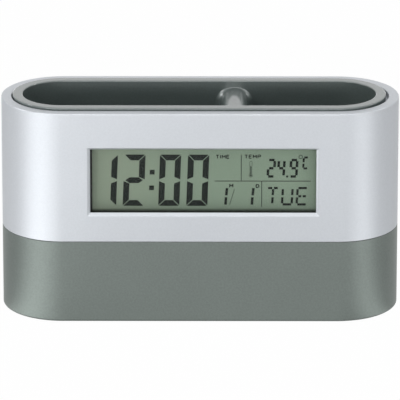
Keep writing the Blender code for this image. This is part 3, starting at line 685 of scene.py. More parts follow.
def circuit_board(colours):
    """Green mask over a net of copper tracks, with bare tan edges."""
    finish = Finish("circuit_board", {"Specular IOR Level": 0.5})
    inputs = {"Vector": finish.place, "Scale": 0.22}
    net = finish.node("TexVoronoi", {"feature": "DISTANCE_TO_EDGE"}, inputs)
    tracks = 1 - Varying(finish, net.outputs["Distance"]).between(0.03, 0.05)
    weave = finish.noise(0.8, 1.0)
    mask = finish.tones(weave, colours.board, 0.85, 1.15)
    return finish.surface(
        Base_Color=finish.blend(tracks, mask, shade(colours.board, 1.7)),
        Roughness=0.32 + weave * 0.12,
        Normal=finish.relief(tracks + weave * 0.2, 0.03),
    )


def plated_steel(colours):
    """Nickel plate with fine marks and a few duller spots."""
    finish = Finish("plated_steel", {"Metallic": 1.0})
    marks, spots = finish.noise(0.25, 3.0), finish.noise(1.8)
    return finish.surface(
        Base_Color=finish.tones(spots, colours.steel, 0.85, 1.05),
        Roughness=0.2 + marks * 0.14 + spots * 0.06,
        Normal=finish.relief(marks, 0.004),
    )


def sounder_metal(name, colour_value, metallic):
    """Spun sheet or fired ceramic with faint rings round the disc's middle."""
    finish = Finish(name, {"Metallic": metallic})
    middle = middle_of("alarm_sounder")
    x, y, _ = finish.xyz()
    dx, dy = x - middle.x, y - middle.y
    rings = (dx * dx + dy * dy).maths("SQRT") * 6.0
    waves = rings.maths("SINE") * 0.5 + 0.5
    stains = finish.noise(1.5)
    return finish.surface(
        Base_Color=finish.tones(stains, colour_value, 0.82, 1.08),
        Roughness=0.28 + stains * 0.12 + waves * 0.05,
        Normal=finish.relief(waves, 0.003),
    )


def capacitor_body(colours):
    """Tan fired ceramic with tinned caps at both ends."""
    finish = Finish("capacitor_body", {"Roughness": 0.4})
    low, high = corners("capacitor_1")
    x, _, _ = finish.xyz()
    caps = (abs(x - middle_of("capacitor_1").x) / ((high.x - low.x) / 2)).between(0.62, 0.66)
    grain = finish.noise(0.2, 2.0)
    ceramic = finish.blend(grain, DARK_CERAMIC, PALE_CERAMIC)
    return finish.surface(Base_Color=finish.blend(caps, ceramic, colours.steel), Metallic=caps * 0.9)


def insulation(name, colour_value):
    """Soft extruded sleeve with faint lengthwise drag marks."""
    finish = Finish(name, {"Coat Weight": 0.1, "Coat Roughness": 0.25})
    drag, clouds = finish.noise(0.3, 1.0, (1.0, 1.0, 0.1)), finish.noise(5.0)
    return finish.surface(
        Base_Color=finish.tones(clouds, colour_value, 0.85, 1.1),
        Roughness=0.4 + drag * 0.12,
        Normal=finish.relief(drag, 0.01),
    )


def ribbon_cable(colours):
    """Pale flat cable whose cores show as even ridges, with painted shade in the grooves between them."""
    finish = Finish("ribbon_cable", {})
    x, _, _ = finish.xyz()
    ridges = (x * (2 * math.pi)).maths("COSINE") * 0.5 + 0.5
    return finish.surface(
        # The colour darkens in the grooves between the cores: painted shade.
        Base_Color=finish.blend(ridges, shade(colours.pale, 0.62), colours.pale),
        Roughness=0.36 + ridges * 0.1,
        Normal=finish.relief(ridges, 0.15),
    )


def cell_jacket(colours):
    """Plain printed film: a deep band, a pale band at the positive shoulder and fine lengthwise streaks."""
    finish = Finish("cell_jacket", {"Coat Weight": 0.4, "Coat Roughness": 0.12, "Metallic": 0.35})
    x, _, _ = finish.xyz()
    band = abs(x).between(12.6, 12.75) * (1 - abs(x).between(14.0, 14.15))
    streaks = finish.noise(0.8, 2.0, (0.05, 1.0, 1.0))
    film_colour = finish.tones(streaks, colours.jacket, 0.85, 1.12)
    return finish.surface(
        Base_Color=finish.blend(band, film_colour, shade(colours.pale, 0.85)),
        Roughness=0.24 + streaks * 0.1,
    )


# Body pieces

# Fixed places inside the base, in millimetres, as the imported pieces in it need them
BAY_OUTSIDE = ((-27.2, 27.2), (-14.0, 12.0))
BAY_INSIDE = ((-25.6, 25.6), (-12.4, 10.4))
BAY_TOP = 16.2
DOORWAY_Y = (-13.0, 11.0)
HOOK_X = (-15.0, 15.0)
TAB_Y = (-6.6, 4.6)
BOSS_TOP = 14.0
SOUNDER_RING_TOP = 5.2
KEY_Z = 12.5
KEY_SCREW_X = (-30.5, 30.5)
KEY_BOARD_FACE = 17.5


def window_cutter(size):
    """The display opening: a bevel all round in front, then a short passage to the lens."""
    rings = []
    front, bevel = -size.body_depth / 2, size.window_bevel
    for depth, narrow, undercut in ((-1.0, -1.0, 0.0), (bevel, bevel, 0.0), (size.wall + 1.0, bevel, 0.75)):
        left, right = size.window_left + narrow * 1.1, size.window_right - narrow * 1.3
        low, high = size.window_bottom + narrow * 1.1 - undercut, size.window_top - narrow * 0.8
        y = front + depth
        rings.append([(left, y, low), (right, y, low), (right, y, high), (left, y, high)])
    return lofted(rings)


def sleeve_shape(size):
    profile = eased(
        [
            (0.0, size.sleeve_bottom, 0.15),
            (0.0, size.sleeve_top, size.lip_round),
            (size.lip_width, size.sleeve_top, 0.45),
            (size.lip_width, size.ledge_top, 0.0),
            (size.ledge_width, size.ledge_top, 0.2),
            (size.ledge_width, size.ledge_bottom, 0.2),
            (size.wall, size.ledge_bottom - 2.0, 0.0),
            (size.wall, size.sleeve_bottom, 0.2),
        ]
    )
    shape = less(swept(size, profile), window_cutter(size))
    front = -size.body_depth / 2
    back = front + size.wall
    low, high = size.window_bottom - 1, size.window_top + 1
    left, right = size.window_left - 1, size.window_right + 1

    def on_window(point):
        inside = left < point.x < right and low < point.z < high
        return inside and front - 0.1 < point.y < back + 0.1

    return soften(shape, 0.12, on_window)


class CLOCK_OT_sleeve(bpy.types.Operator):
    """Make the silver sleeve with its rounded lip, display window and board bosses"""

    bl_idname = "clock.sleeve"
    bl_label = "Silver sleeve"
    bl_options = {"REGISTER", "UNDO"}

    def execute(self, context):
        size = in_millimetres(context.scene.clock_sizes)
        inside = size.wall - size.body_depth / 2
        face = corners("clock_board")[0].y - 0.3
        bosses = []
        for middle in middles("board_screw"):
            post, hole = (2.5, inside - 0.4, face), (1.3, inside + 0.8, face + 1)
            bosses.append(less(rod(middle.xz, *post, "Y"), rod(middle.xz, *hole, "Y")))
        finish = silver_paint(context.scene.clock_colours)
        shape = gathered(sleeve_shape(size), *bosses)
        piece("sleeve", shape, finish, ["upper_housing"])
        return {"FINISHED"}


def base_shell(size):
    """The tub with its skirt, before anything is cut into it or built onto its floor."""
    low, top, wall, floor = size.base_bottom, size.base_top, size.wall, size.floor_top
    skirt_in, skirt_out = wall + 0.3, 3.9
    profile = eased(
        [
            (size.base_round + 1.0, low, 0.0),
            (0.0, low, size.base_round),
            (0.0, top, 0.15),
            (skirt_in, top, 0.0),
            (skirt_in, size.skirt_top, 0.2),
            (skirt_out, size.skirt_top, 0.2),
            (skirt_out, top - 2.0, 0.0),
            (wall, top - 4.0, 0.0),
            (wall, floor, 1.0),
            (wall + 2.0, floor, 0.0),
        ],
        closed=False,
    )
    return swept(size, profile, closed=False)


def base_additions(size):
    """Battery bay, screw bosses, sounder ring and key bosses that stand on the tub's inside."""
    floor = size.floor_top - 0.5
    bay = box(*BAY_OUTSIDE, (floor, BAY_TOP))
    bosses = [rod(middle.xy, 3.7, floor, BOSS_TOP) for middle in middles("base_screw")]
    ring = rod(middle_of("alarm_sounder").xy, 8.8, floor, SOUNDER_RING_TOP, sides=48)
    back = size.body_depth / 2 - size.wall / 2
    keys = [rod((x, KEY_Z), 2.2, KEY_BOARD_FACE, back, "Y") for x in KEY_SCREW_X]
    return bay, *bosses, ring, *keys


def base_openings(size):
    """What is cut from the tub, in order."""
    bottom, back = size.base_bottom, size.body_depth / 2
    low, high = corners("battery_door")
    bay = box(*BAY_INSIDE, (2.0, 14.6))
    doorway = box((low.x - 0.3, high.x + 0.3), DOORWAY_Y, (0.0, 3.05))
    hook_slots = [box((x - 3.4, x + 3.4), (-15.0, -11.4), (2.9, 5.2)) for x in HOOK_X]
    tab_slots = [box((24.4, 25.5), (y - 1.4, y + 1.4), (13.6, 18.0)) for y in TAB_Y]
    finger_notch = turned([(0.0, 5.0), (2.0, 4.4)], (0.0, 11.5))
    cutters = [bay, doorway, *hook_slots, *tab_slots, finger_notch]
    for middle in middles("base_screw"):
        cutters += [rod(middle.xy, 2.7, 0.0, 10.5), rod(middle.xy, 1.5, 9.0, 15.0)]
    cutters += [rod(middle.xy, 4.3, 0.0, bottom + 0.6, sides=48) for middle in middles("foot")]
    sounder = middle_of("alarm_sounder").xy
    cutters.append(rod(sounder, 7.8, size.floor_top, 6.0, sides=48))
    holes = (sounder, *arc(sounder, 3.4, 45, 315, 3))
    cutters += [rod(hole, 0.8, 0.0, size.floor_top + 1, sides=24) for hole in holes]
    recess = rounded_rect((0.0, KEY_Z), (54.0, 9.0), 4.4)
    cutters.append(prism(recess, "Y", back - 0.9, back + 1))
    opening = (size.button_width + 0.6, size.button_height + 0.6)
    for middle in middles("button"):
        outline = rounded_rect((middle.x, KEY_Z), opening, 2.5)
        cutters.append(prism(outline, "Y", back - size.wall - 1, back))
    cutters += [rod((x, KEY_Z), 1.2, 16.0, back - size.wall - 0.4, "Y", 24) for x in KEY_SCREW_X]
    return cutters


class CLOCK_OT_base(bpy.types.Operator):
    """Make the dark grey base with its battery bay, openings and screw bosses"""

    bl_idname = "clock.base"
    bl_label = "Grey base"
    bl_options = {"REGISTER", "UNDO"}

    def execute(self, context):
        size = in_millimetres(context.scene.clock_sizes)
        shape = plus(base_shell(size), *base_additions(size))
        for cutter in base_openings(size):
            shape = less(shape, cutter)
        back = size.body_depth / 2

        def outside(point):
            below = point.z < size.base_bottom + 0.05 and abs(point.y) < 20
            behind = point.y > back - 0.05 and 7.5 < point.z < 17.5 and abs(point.x) < 28
            return below or behind

        shape = soften(shape, 0.2, outside)
        finish = grey_plastic("grey_plastic", context.scene.clock_colours.grey)
        piece("base", shape, finish, ["base_housing"])
        return {"FINISHED"}


def setback_block(size, wall, low):
    """The block in front of the cup: an upright face and a slope out to the rim, moved out by a wall."""
    rise, run = size.shoulder_top - size.setback_top, size.shoulder_run
    slope = math.hypot(rise, run)
    shift_y, shift_z = wall * rise / slope, wall * run / slope
    corner = size.setback_top - shift_z + (wall - shift_y) * rise / run
    top = (size.setback - run - shift_y, size.shoulder_top - shift_z)
    outline = [
        (-30.0, low, 0.0),
        (size.setback - wall, low, 0.0),
        (size.setback - wall, corner, 3.0 + wall),
        (*top, 0.0),
        (-30.0, top[1], 0.0),
    ]
    half = size.body_length / 2
    return prism(eased(outline), "X", -half, half)


def divider_shape(size, half_width, rise, sections, low):
    """An upright partition with a full round top; each section is a depth along Y and a swelling there."""
    levels = []
    for y, swelling in sections:
        half, height = half_width + swelling * 1.45, rise + swelling * 0.35
        turns = [math.pi * step / 36 for step in range(37)]
        crown = []
        for turn in turns:
            across, up = math.cos(turn), math.sin(turn)
            u = math.copysign(abs(across) ** 0.92, across) * half
            crown.append((size.divider_x + u, size.divider_crown + abs(up) ** 0.92 * height))
        levels.append((y, [(size.divider_x + half, low), *crown, (size.divider_x - half, low)]))
    return stacked(levels, "Y")


class CLOCK_OT_pen_cup(bpy.types.Operator):
    """Make the pen cup with its rounded rim and flared divider"""

    bl_idname = "clock.pen_cup"
    bl_label = "Pen cup"
    bl_options = {"REGISTER", "UNDO"}

    def execute(self, context):
        size = in_millimetres(context.scene.clock_sizes)
        inner, rim = size.cup_inner, size.rim_top
        outer = eased(
            [
                (size.cup_offset + 3.0, size.cup_bottom, 0.0),
                (size.cup_offset, size.cup_bottom, 1.5),
                (size.cup_offset, size.cup_flange, 0.0),
                (size.rim_outer, size.cup_flange, 0.2),
                (size.rim_outer, rim, size.rim_round),
                (size.rim_outer + 2.0, rim, 0.0),
            ],
            closed=False,
        )
        hollow = [
            (inner + 4.0, size.cup_floor),
            *arc((inner + 2.0, size.cup_floor + 2.0), 2.0, -90, -180, 8),
            *arc((inner - size.rim_round, rim - size.rim_round), size.rim_round, 0, 90, 8),
            (inner - size.rim_round, rim + 2.0),
        ]
        cavity = less(swept(size, hollow, closed=False), setback_block(size, 0.0, size.cup_floor - 5))
        shape = less(swept(size, outer, closed=False), cavity)
        bmesh.ops.translate(shape, verts=shape.verts, vec=(size.cup_shift * MM, 0.0, 0.0))
        wall_y = size.body_depth / 2 - inner + 0.05
        flare = arc((wall_y - size.divider_flare, size.divider_flare), size.divider_flare, -90, 0, 10)
        sections = [(-15.6, 0.0), *flare, (wall_y + 0.7, size.divider_flare)]
        half, rise = size.divider_half, size.divider_rise
        shape = plus(shape, divider_shape(size, half, rise, sections, size.cup_bottom + 0.9))
        posts = [middle.xy for middle in middles("base_screw")]
        bosses = [rod(post, 2.8, 14.3, size.cup_bottom + 0.5) for post in posts]
        shape = plus(shape, *bosses)
        wall = size.cup_inner - size.cup_offset
        inside = [(-8.0, 0.0), (13.3, 0.0)]
        hole = divider_shape(size, half - wall, rise - wall, inside, size.cup_bottom - 2)
        screw_holes = [rod(post, 1.5, 13.0, size.cup_bottom + 0.6, sides=24) for post in posts]
        shape = less(shape, hole)
        shape = less(shape, setback_block(size, wall, size.cup_bottom - 10))
        shape = less(shape, *screw_holes)
        colour_value = context.scene.clock_colours.cup
        finish = grey_plastic("cup_plastic", colour_value, roughness=0.4, metallic=0.25, coat=0.85)
        piece("cup", shape, finish, ["pen_cup"])
        return {"FINISHED"}


# Display

SLANT, SIGN_SLANT = 0.037, 0.06
SEGMENTS_OF = {"0": "abcdef", "1": "bc", "2": "abged", "4": "fgbc", "9": "abcdfg"}
SEGMENTS_OF |= {"T": "mnjl", "U": "bcdef", "E": "adefhi", "C": "adef"}

# A small sign's bars from end to end, as shares of its width and height
BARS = {
    "a": (0.08, 1, 0.94, 1),
    "b": (1, 0.93, 1, 0.57),
    "c": (1, 0.43, 1, 0.07),
    "d": (0.08, 0, 0.94, 0),
    "e": (0, 0.43, 0, 0.07),
    "f": (0, 0.93, 0, 0.57),
    "g": (0.15, 0.5, 0.85, 0.5),
    "h": (0.12, 0.5, 0.42, 0.5),
    "i": (0.58, 0.5, 0.9, 0.5),
    "j": (0.47, 0.93, 0.47, 0.57),
    "l": (0.47, 0.43, 0.47, 0.07),
    "m": (-0.05, 1, 0.36, 1),
    "n": (0.55, 1, 0.94, 1),
}

# A letter's width in millimetres, and its strokes as shares of its width and height
LETTERS = {
    "T": (0.95, [[(0, 1), (1, 1)], [(0.5, 1), (0.5, 0)]]),
    "I": (0.25, [[(0.5, 0), (0.5, 1)]]),
    "M": (1.2, [[(0, 0), (0, 1), (0.5, 0.35), (1, 1), (1, 0)]]),
    "E": (0.95, [[(0, 0), (0, 1), (1, 1)], [(0, 0.5), (0.85, 0.5)], [(0, 0), (1, 0)]]),
    "P": (0.95, [[(0, 0), (0, 1), (1, 1), (1, 0.48), (0, 0.48)]]),
    "D": (1.05, [[(0, 0), (0, 1), (0.7, 1), (1, 0.7), (1, 0.3), (0.7, 0), (0, 0)]]),
}

# Where the marks stand on the display, in millimetres; each is written from its lower left corner
TIME_DIGITS = (("1", -39.5), ("2", -29.1), ("0", -15.75), ("0", -5.2))
TIME_FOOT, SEGMENT_GAP = 45.55, 0.28
COLON_DOTS = ((-18.8, 58.0), (-19.05, 51.8))
DECIMAL_POINT = [(32.35, 56.85), (33.1, 56.85), (33.13, 57.6), (32.38, 57.6)]
DEGREE_RING = (37.78, 65.0)
THERMOMETER_BULB, THERMOMETER_TOP = (19.05, 57.65), (19.12, 62.8)
THERMOMETER_COLUMN = ((19.06, 58.0), (19.1, 61.3))
DATE_STROKE = ((11.17, 46.05), (12.91, 52.1))
MONTH_AND_DAY = (9.6, 19.53)

# Small signs: x, z, width, height, stroke
TEMPERATURE = {"2": (25.42, 57.24, 2.3, 6.53, 0.95), "4": (29.25, 57.24, 2.1, 6.53, 0.95)}
TEMPERATURE |= {"9": (33.84, 57.24, 2.3, 6.53, 0.95), "C": (38.72, 60.45, 1.6, 4.32, 0.76)}
WEEKDAY = {"T": (25.42, 46.15, 3.65, 6.5, 0.86), "U": (30.81, 46.15, 3.65, 6.5, 0.86)}
WEEKDAY |= {"E": (36.33, 46.15, 3.65, 6.5, 0.86)}

# Words: x, z, height, gap between letters, stroke
WORDS = {"TIME": (6.09, 64.2, 1.62, 0.5, 0.33), "TEMP": (16.88, 64.3, 1.58, 0.58, 0.33)}
WORDS |= {"M": (11.15, 52.75, 1.6, 0.0, 0.36), "D": (21.1, 52.69, 1.5, 0.0, 0.38)}

# Thin dividing lines from end to end, and their width
RULE = 0.26
RULES = [((15.48, 55.4), (15.48, 65.8)), ((5.48, 55.4), (41.64, 55.4)), ((23.2, 45.17), (23.2, 55.4))]


def digit_outlines(digit, corner, width, height, stroke, gap):
    """Outlines of a digit's lit segments, leaning a little to the right."""
    middle, cut = height / 2, 0.22 * stroke
    near, far, tip = gap / 2 / math.sqrt(2), gap / math.sqrt(2), 0.16 * stroke
    top = [
        (cut, height),
        (width - cut, height),
        (width - cut / 2 - near, height - cut / 2 + near),
        (width - stroke - far, height - stroke),
        (stroke + far, height - stroke),
        (cut / 2 + near, height - cut / 2 + near),
    ]
    left = [
        (0, height - cut),
        (cut / 2 - near, height - cut / 2 - near),
        (stroke, height - stroke - far),
        (stroke, middle + stroke / 2 + far),
        (0, middle + tip),
    ]
    bar = [
        (2 * tip, middle),
        (stroke, middle + stroke / 2),
        (width - stroke, middle + stroke / 2),
        (width - 2 * tip, middle),
        (width - stroke, middle - stroke / 2),
        (stroke, middle - stroke / 2),
    ]

    def turned_over(points, across, upright):
        return [(width - u if across else u, height - v if upright else v) for u, v in points]

    shapes = {
        "a": top,
        "b": turned_over(left, True, False),
        "c": turned_over(left, True, True),
        "d": turned_over(top, False, True),
        "e": turned_over(left, False, True),
        "f": left,
        "g": bar,
    }
    x, z = corner
    return [[(x + u + SLANT * v, z + v) for u, v in shapes[name]] for name in SEGMENTS_OF[digit]]


def stroke_outline(start, end, width):
    """A straight mark between two points."""
    start, end = Vector(start), Vector(end)
    side = (end - start).normalized().orthogonal() * width / 2
    return [tuple(point) for point in (start + side, end + side, end - side, start - side)]


def word_outlines(word, x, z, height, gap, width):
    """Plain stroke letters in a row."""
    outlines = []
    for letter in word:
        span, chains = LETTERS[letter]
        for chain in chains:
            points = [(x + u * span, z + width / 2 + v * (height - width)) for u, v in chain]
            outlines += [stroke_outline(*ends, width) for ends in zip(points, points[1:])]
        x += span + gap
    return outlines


def bar_sign(sign, x, z, width, height, stroke):
    """A small sign of straight bars, from the middle of its lower left bar, leaning to the right."""
    outlines = []
    for name in SEGMENTS_OF[sign]:
        u0, v0, u1, v1 = BARS[name]
        ends = [(x + u * width + SIGN_SLANT * v * height, z + v * height) for u, v in ((u0, v0), (u1, v1))]
        outlines.append(stroke_outline(*ends, stroke))
    return outlines


def display_marks(size):
    """Every lit mark of the display as flat outlines of (x, z), in millimetres."""
    width, height, stroke = size.digit_width, size.digit_height, size.digit_stroke
    marks = []
    for digit, x in TIME_DIGITS:
        marks += digit_outlines(digit, (x, TIME_FOOT), width, height, stroke, SEGMENT_GAP)
    for x, z in COLON_DOTS:
        marks.append([(x - 0.1, z), (x + 1.72, z), (x + 1.78, z + 1.8), (x - 0.04, z + 1.8)])
    for sign, where in (*TEMPERATURE.items(), *WEEKDAY.items()):
        marks += bar_sign(sign, *where)
    marks.append(DECIMAL_POINT)
    for x in MONTH_AND_DAY:
        marks.append(stroke_outline((x + 0.56, 52.6), (x + 0.28, 49.75), 0.98))
        marks.append(stroke_outline((x + 0.18, 48.95), (x, 46.05), 0.98))
    for word, where in WORDS.items():
        marks += word_outlines(word, *where)
    marks += [stroke_outline(start, end, RULE) for start, end in RULES]
    return marks


def faint_marks():
    """The paler signs: a small thermometer, the degree ring and the stroke between month and day."""
    outline = [*arc(THERMOMETER_TOP, 0.45, 0, 180, 8), *reversed(arc(THERMOMETER_BULB, 0.66, 60, -240, 14))]
    marks = [stroke_outline(a, b, 0.16) for a, b in zip(outline, outline[1:] + outline[:1])]
    marks.append(arc(THERMOMETER_BULB, 0.42, 0, 360, 12)[:-1])
    marks.append(stroke_outline(*THERMOMETER_COLUMN, 0.42))
    ring = arc(DEGREE_RING, 0.68, 0, 360, 12)
    marks += [stroke_outline(a, b, 0.3) for a, b in zip(ring, ring[1:])]
    marks.append(stroke_outline(*DATE_STROKE, RULE))
    return marks


def marks_shape(outlines, face):
    """Thin raised marks on the front of the display glass."""
    return gathered(*(prism(outline, "Y", face - 0.06, face) for outline in outlines))


class CLOCK_OT_display(bpy.types.Operator):
    """Make the display's segments and signs, and finish the cell that carries them"""

    bl_idname = "clock.display"
    bl_label = "Display"
    bl_options = {"REGISTER", "UNDO"}

    def execute(self, context):
        size = in_millimetres(context.scene.clock_sizes)
        colours = context.scene.clock_colours
        face = corners("lcd_front_glass")[0].y
        ink = display_ink("display_ink", colours.ink)
        faint = display_ink("faint_ink", FAINT_INK)
        piece("display_segments", marks_shape(display_marks(size), face), ink)
        piece("display_faint_signs", marks_shape(faint_marks(), face), faint)
        dress("lcd_front_glass", display_face(colours), 0.1)
        dress("lcd_rear_glass", film("rear_glass", shade(colours.display, 0.8)), 0.1)
        dress("lcd_reflector", film("reflector_film", REFLECTOR))
        return {"FINISHED"}


class CLOCK_OT_display_frame(bpy.types.Operator):
    """Finish the lens, its adhesive frame, the black bezel and the contact strips"""

    bl_idname = "clock.display_frame"
    bl_label = "Lens and bezel"
    bl_options = {"REGISTER", "UNDO"}

    def execute(self, context):
        colours = context.scene.clock_colours
        dress("display_lens", clear_acrylic())
        dress("lens_tape", black_plastic("foam_tape", colours, 0.8))
        dress("lcd_frame", black_plastic("black_plastic", colours), 0.15)
        strip = zebra_strip(colours)
        for node in ("contact_strip_lower", "contact_strip_upper"):
            dress(node, strip, 0.15)
        return {"FINISHED"}


# Electronics

LEAD_X = (31.0, 34.0, -38.5, -34.5)
LEAD_Z = 43.2


class CLOCK_OT_board(bpy.types.Operator):
    """Finish the clock board and make the pieces soldered to it"""

    bl_idname = "clock.board"
    bl_label = "Clock board"
    bl_options = {"REGISTER", "UNDO"}

    def execute(self, context):
        colours = context.scene.clock_colours
        board = circuit_board(colours)
        dress("clock_board", board)
        dress("key_board", board)
        low, high = corners("chip_cover")
        radius, height = (high.x - low.x) / 2, high.y - low.y
        turns = [math.radians(angle) for angle in range(0, 91, 9)]
        dome = [(low.y + height * math.sin(t) ** 0.8, radius * (0.03 + 0.97 * math.cos(t))) for t in turns]
        cover = turned(dome, middle_of("chip_cover").xz, "Y", 48)
        piece("chip_blob", cover, epoxy("epoxy", colours), ["chip_cover"])
        dress("temperature_sensor", epoxy("sensor_epoxy", colours, 0.4))
        steel = plated_steel(colours)
        dress("timing_crystal", steel)
        ceramic = capacitor_body(colours)
        for node in ("capacitor_1", "capacitor_2"):
            dress(node, ceramic, 0.12)
        joints = [solder_joint(x) for x in LEAD_X]
        piece("solder_joints", gathered(*joints), steel)
        return {"FINISHED"}


def solder_joint(x):
    """A small dome of solder on the back of the clock board, where a lead ends."""
    back = corners("clock_board")[1].y
    dome = [(back - 0.02, 0.8), (back + 0.12, 0.74), (back + 0.3, 0.5), (back + 0.36, 0.2)]
    return turned(dome, (x, LEAD_Z), "Y", 16)


def screw_shape(node, axis, head_low):
    """A pan-head cross-recess screw as large as a packed one; its head is at the low or the high end."""
    low, high = corners(node)
    along, flat = {"Y": (1, (0, 2)), "Z": (2, (0, 1))}[axis]
    centre = tuple((low[i] + high[i]) / 2 for i in flat)
    head, total = (high[flat[0]] - low[flat[0]]) / 2, high[along] - low[along]
    height, shank = head * 0.7, head * 0.5
    profile = [(0.0, head * 0.7), (height * 0.12, head * 0.82), (height * 0.4, head * 0.95)]
    profile += [(height * 0.75, head), (height * 0.97, head), (height, head * 0.97), (height, shank)]
    pitch = shank * 0.6
    turns = int((total - height - shank) / pitch)
    for number in range(turns):
        start = height + pitch * (number + 0.3)
        profile += [(start, shank * 0.82), (start + pitch * 0.4, shank), (start + pitch * 0.55, shank)]
    profile += [(total - shank * 0.8, shank * 0.8), (total - 0.05, shank * 0.2)]
    start, way = (low[along], 1) if head_low else (high[along], -1)
    shape = turned([(start + way * step, radius) for step, radius in profile], centre, axis, 32)
    slot, depth = head * 0.6, height * 0.6
    level = sorted((start - way * 1.0, start + way * depth))
    u, v = centre
    for p, q in ((slot, head * 0.14), (head * 0.14, slot)):
        outline = [(u - p, v - q), (u + p, v - q), (u + p, v + q), (u - p, v + q)]
        shape = less(shape, prism(outline, axis, *level))
    return shape


class CLOCK_OT_screws(bpy.types.Operator):
    """Make the pan-head screws of the base, the clock board and the key board"""

    bl_idname = "clock.screws"
    bl_label = "Screws"
    bl_options = {"REGISTER", "UNDO"}

    def execute(self, context):
        steel = plated_steel(context.scene.clock_colours)
        ways = {"base": ("Z", True), "board": ("Y", False), "key": ("Y", True)}
        screws = [(kind, number) for number in range(1, 5) for kind in ("base", "board")]
        for kind, number in (*screws, ("key", 1), ("key", 2)):
            node = f"{kind}_screw_{number}"
            shape = screw_shape(node, *ways[kind])
            piece(f"{kind}_screw_head_{number}", shape, steel, [node])
        return {"FINISHED"}


class CLOCK_OT_leads(bpy.types.Operator):
    """Finish the insulated leads and the flat cable"""

    bl_idname = "clock.leads"
    bl_label = "Leads"
    bl_options = {"REGISTER", "UNDO"}

    def execute(self, context):
        colours = context.scene.clock_colours
        red = insulation("red_insulation", colours.red)
        dress("battery_lead_positive", red)
        dress("sounder_lead_1", red)
        dress("battery_lead_negative", insulation("black_insulation", shade(colours.black, 1.4)))
        dress("sounder_lead_2", insulation("white_insulation", colours.pale))
        dress("key_ribbon", ribbon_cable(colours))
        return {"FINISHED"}


class CLOCK_OT_sounder(bpy.types.Operator):
    """Make the alarm sounder: a brass disc with a silvered ceramic disc on it"""

    bl_idname = "clock.sounder"
    bl_label = "Alarm sounder"
    bl_options = {"REGISTER", "UNDO"}

    def execute(self, context):
        colours = context.scene.clock_colours
        low, high = corners("alarm_sounder")
        centre, radius = middle_of("alarm_sounder").xy, (high.x - low.x) / 2
        top, edge = low.z + 0.4, 0.08
        disc = [(low.z, radius - edge), (low.z + edge, radius), (top - edge, radius), (top, radius - edge)]
        brass = sounder_metal("brass_sheet", colours.brass, 1.0)
        piece("sounder_disc", turned(disc, centre, sides=64), brass, ["alarm_sounder"])
        ceramic = [(top - 0.02, 5.0), (high.z - 0.06, 5.0), (high.z, 4.94)]
        fired = sounder_metal("fired_ceramic", colours.pale, 0.0)
        piece("sounder_ceramic", turned(ceramic, centre, sides=64), fired)
        return {"FINISHED"}


# Power


PLATE_Z = (4.9, 12.2)
TAB_TOP = 17.6
SPRING_TURNS, SPRING_STEPS, SPRING_WIRE = 3.6, 100, 0.3
SPRING_WIDE, SPRING_NARROW = 3.8, 2.4
CLOSED_FROM = 0.92


def cell_profile(node, way):
    """A cell's outline along X from its flat end to its nub: jacket edges, crimp and nub."""
    low, high = corners(node)
    radius, whole = (high.z - low.z) / 2, high.x - low.x
    steps = [
        (0.05, 3.4),
        (0.0, 3.9),
        (0.0, radius - 0.45),
        (0.12, radius - 0.15),
        (0.35, radius - 0.02),
        (0.7, radius),
        (whole - 2.6, radius),
        (whole - 1.5, radius - 0.03),
        (whole - 1.2, radius - 0.2),
        (whole - 1.02, radius - 0.6),
        (whole - 1.12, radius - 0.9),
        (whole - 1.12, 2.5),
        (whole - 1.0, 2.1),
        (whole - 0.85, 1.9),
        (whole - 0.2, 1.88),
        (whole - 0.05, 1.7),
        (whole, 1.4),
    ]
    foot = low.x if way > 0 else high.x
    return [(foot + way * step, across) for step, across in steps]


class CLOCK_OT_cells(bpy.types.Operator):
    """Make the two cells, head to tail"""

    bl_idname = "clock.cells"
    bl_label = "Cells"
    bl_options = {"REGISTER", "UNDO"}

    def execute(self, context):
        colours = context.scene.clock_colours
        jacket, steel = cell_jacket(colours), plated_steel(colours)
        for number, way in ((1, 1), (2, -1)):
            node = f"battery_{number}"
            low, high = corners(node)
            centre = middle_of(node).yz
            shape = turned(cell_profile(node, way), centre, "X", 56)
            for face in shape.faces:
                reach = (face.calc_center_median().yz / MM - centre).length
                face.material_index = int(reach < (high.z - low.z) / 2 - 0.5)
            piece(f"cell_{number}", shape, [jacket, steel], [node])
        return {"FINISHED"}


def spring_shape(start_x, end_x, centre):
    """A conical contact spring, wide on its plate and with a closed last turn."""
    points = []
    for step in range(SPRING_STEPS + 1):
        share = step / SPRING_STEPS
        along = share ** 1.1
        if share > CLOSED_FROM:
            along = CLOSED_FROM ** 1.1
            along += (1 - along) * (share - CLOSED_FROM) / (1 - CLOSED_FROM) * 0.6
        reach = SPRING_WIDE + (SPRING_NARROW - SPRING_WIDE) * share
        turn = 2 * math.pi * SPRING_TURNS * share
        x = start_x + (end_x - start_x) * along
        points.append((x, centre[0] + reach * math.cos(turn), centre[1] + reach * math.sin(turn)))
    return tube(points, SPRING_WIRE, 12)


def plate_shape(x, y, z, tab=None):
    """A sheet contact with clipped corners and, where asked, a solder tab on top."""
    outline = [(y[0], z[0], 0.8), (y[1], z[0], 0.8), (y[1], z[1], 0.8)]
    if tab:
        outline += [(tab[1], z[1], 0.3), (tab[1], tab[2], 0.4), (tab[0], tab[2], 0.4), (tab[0], z[1], 0.3)]
    outline.append((y[0], z[1], 0.8))
    return prism(eased(outline, steps=4), "X", *x)


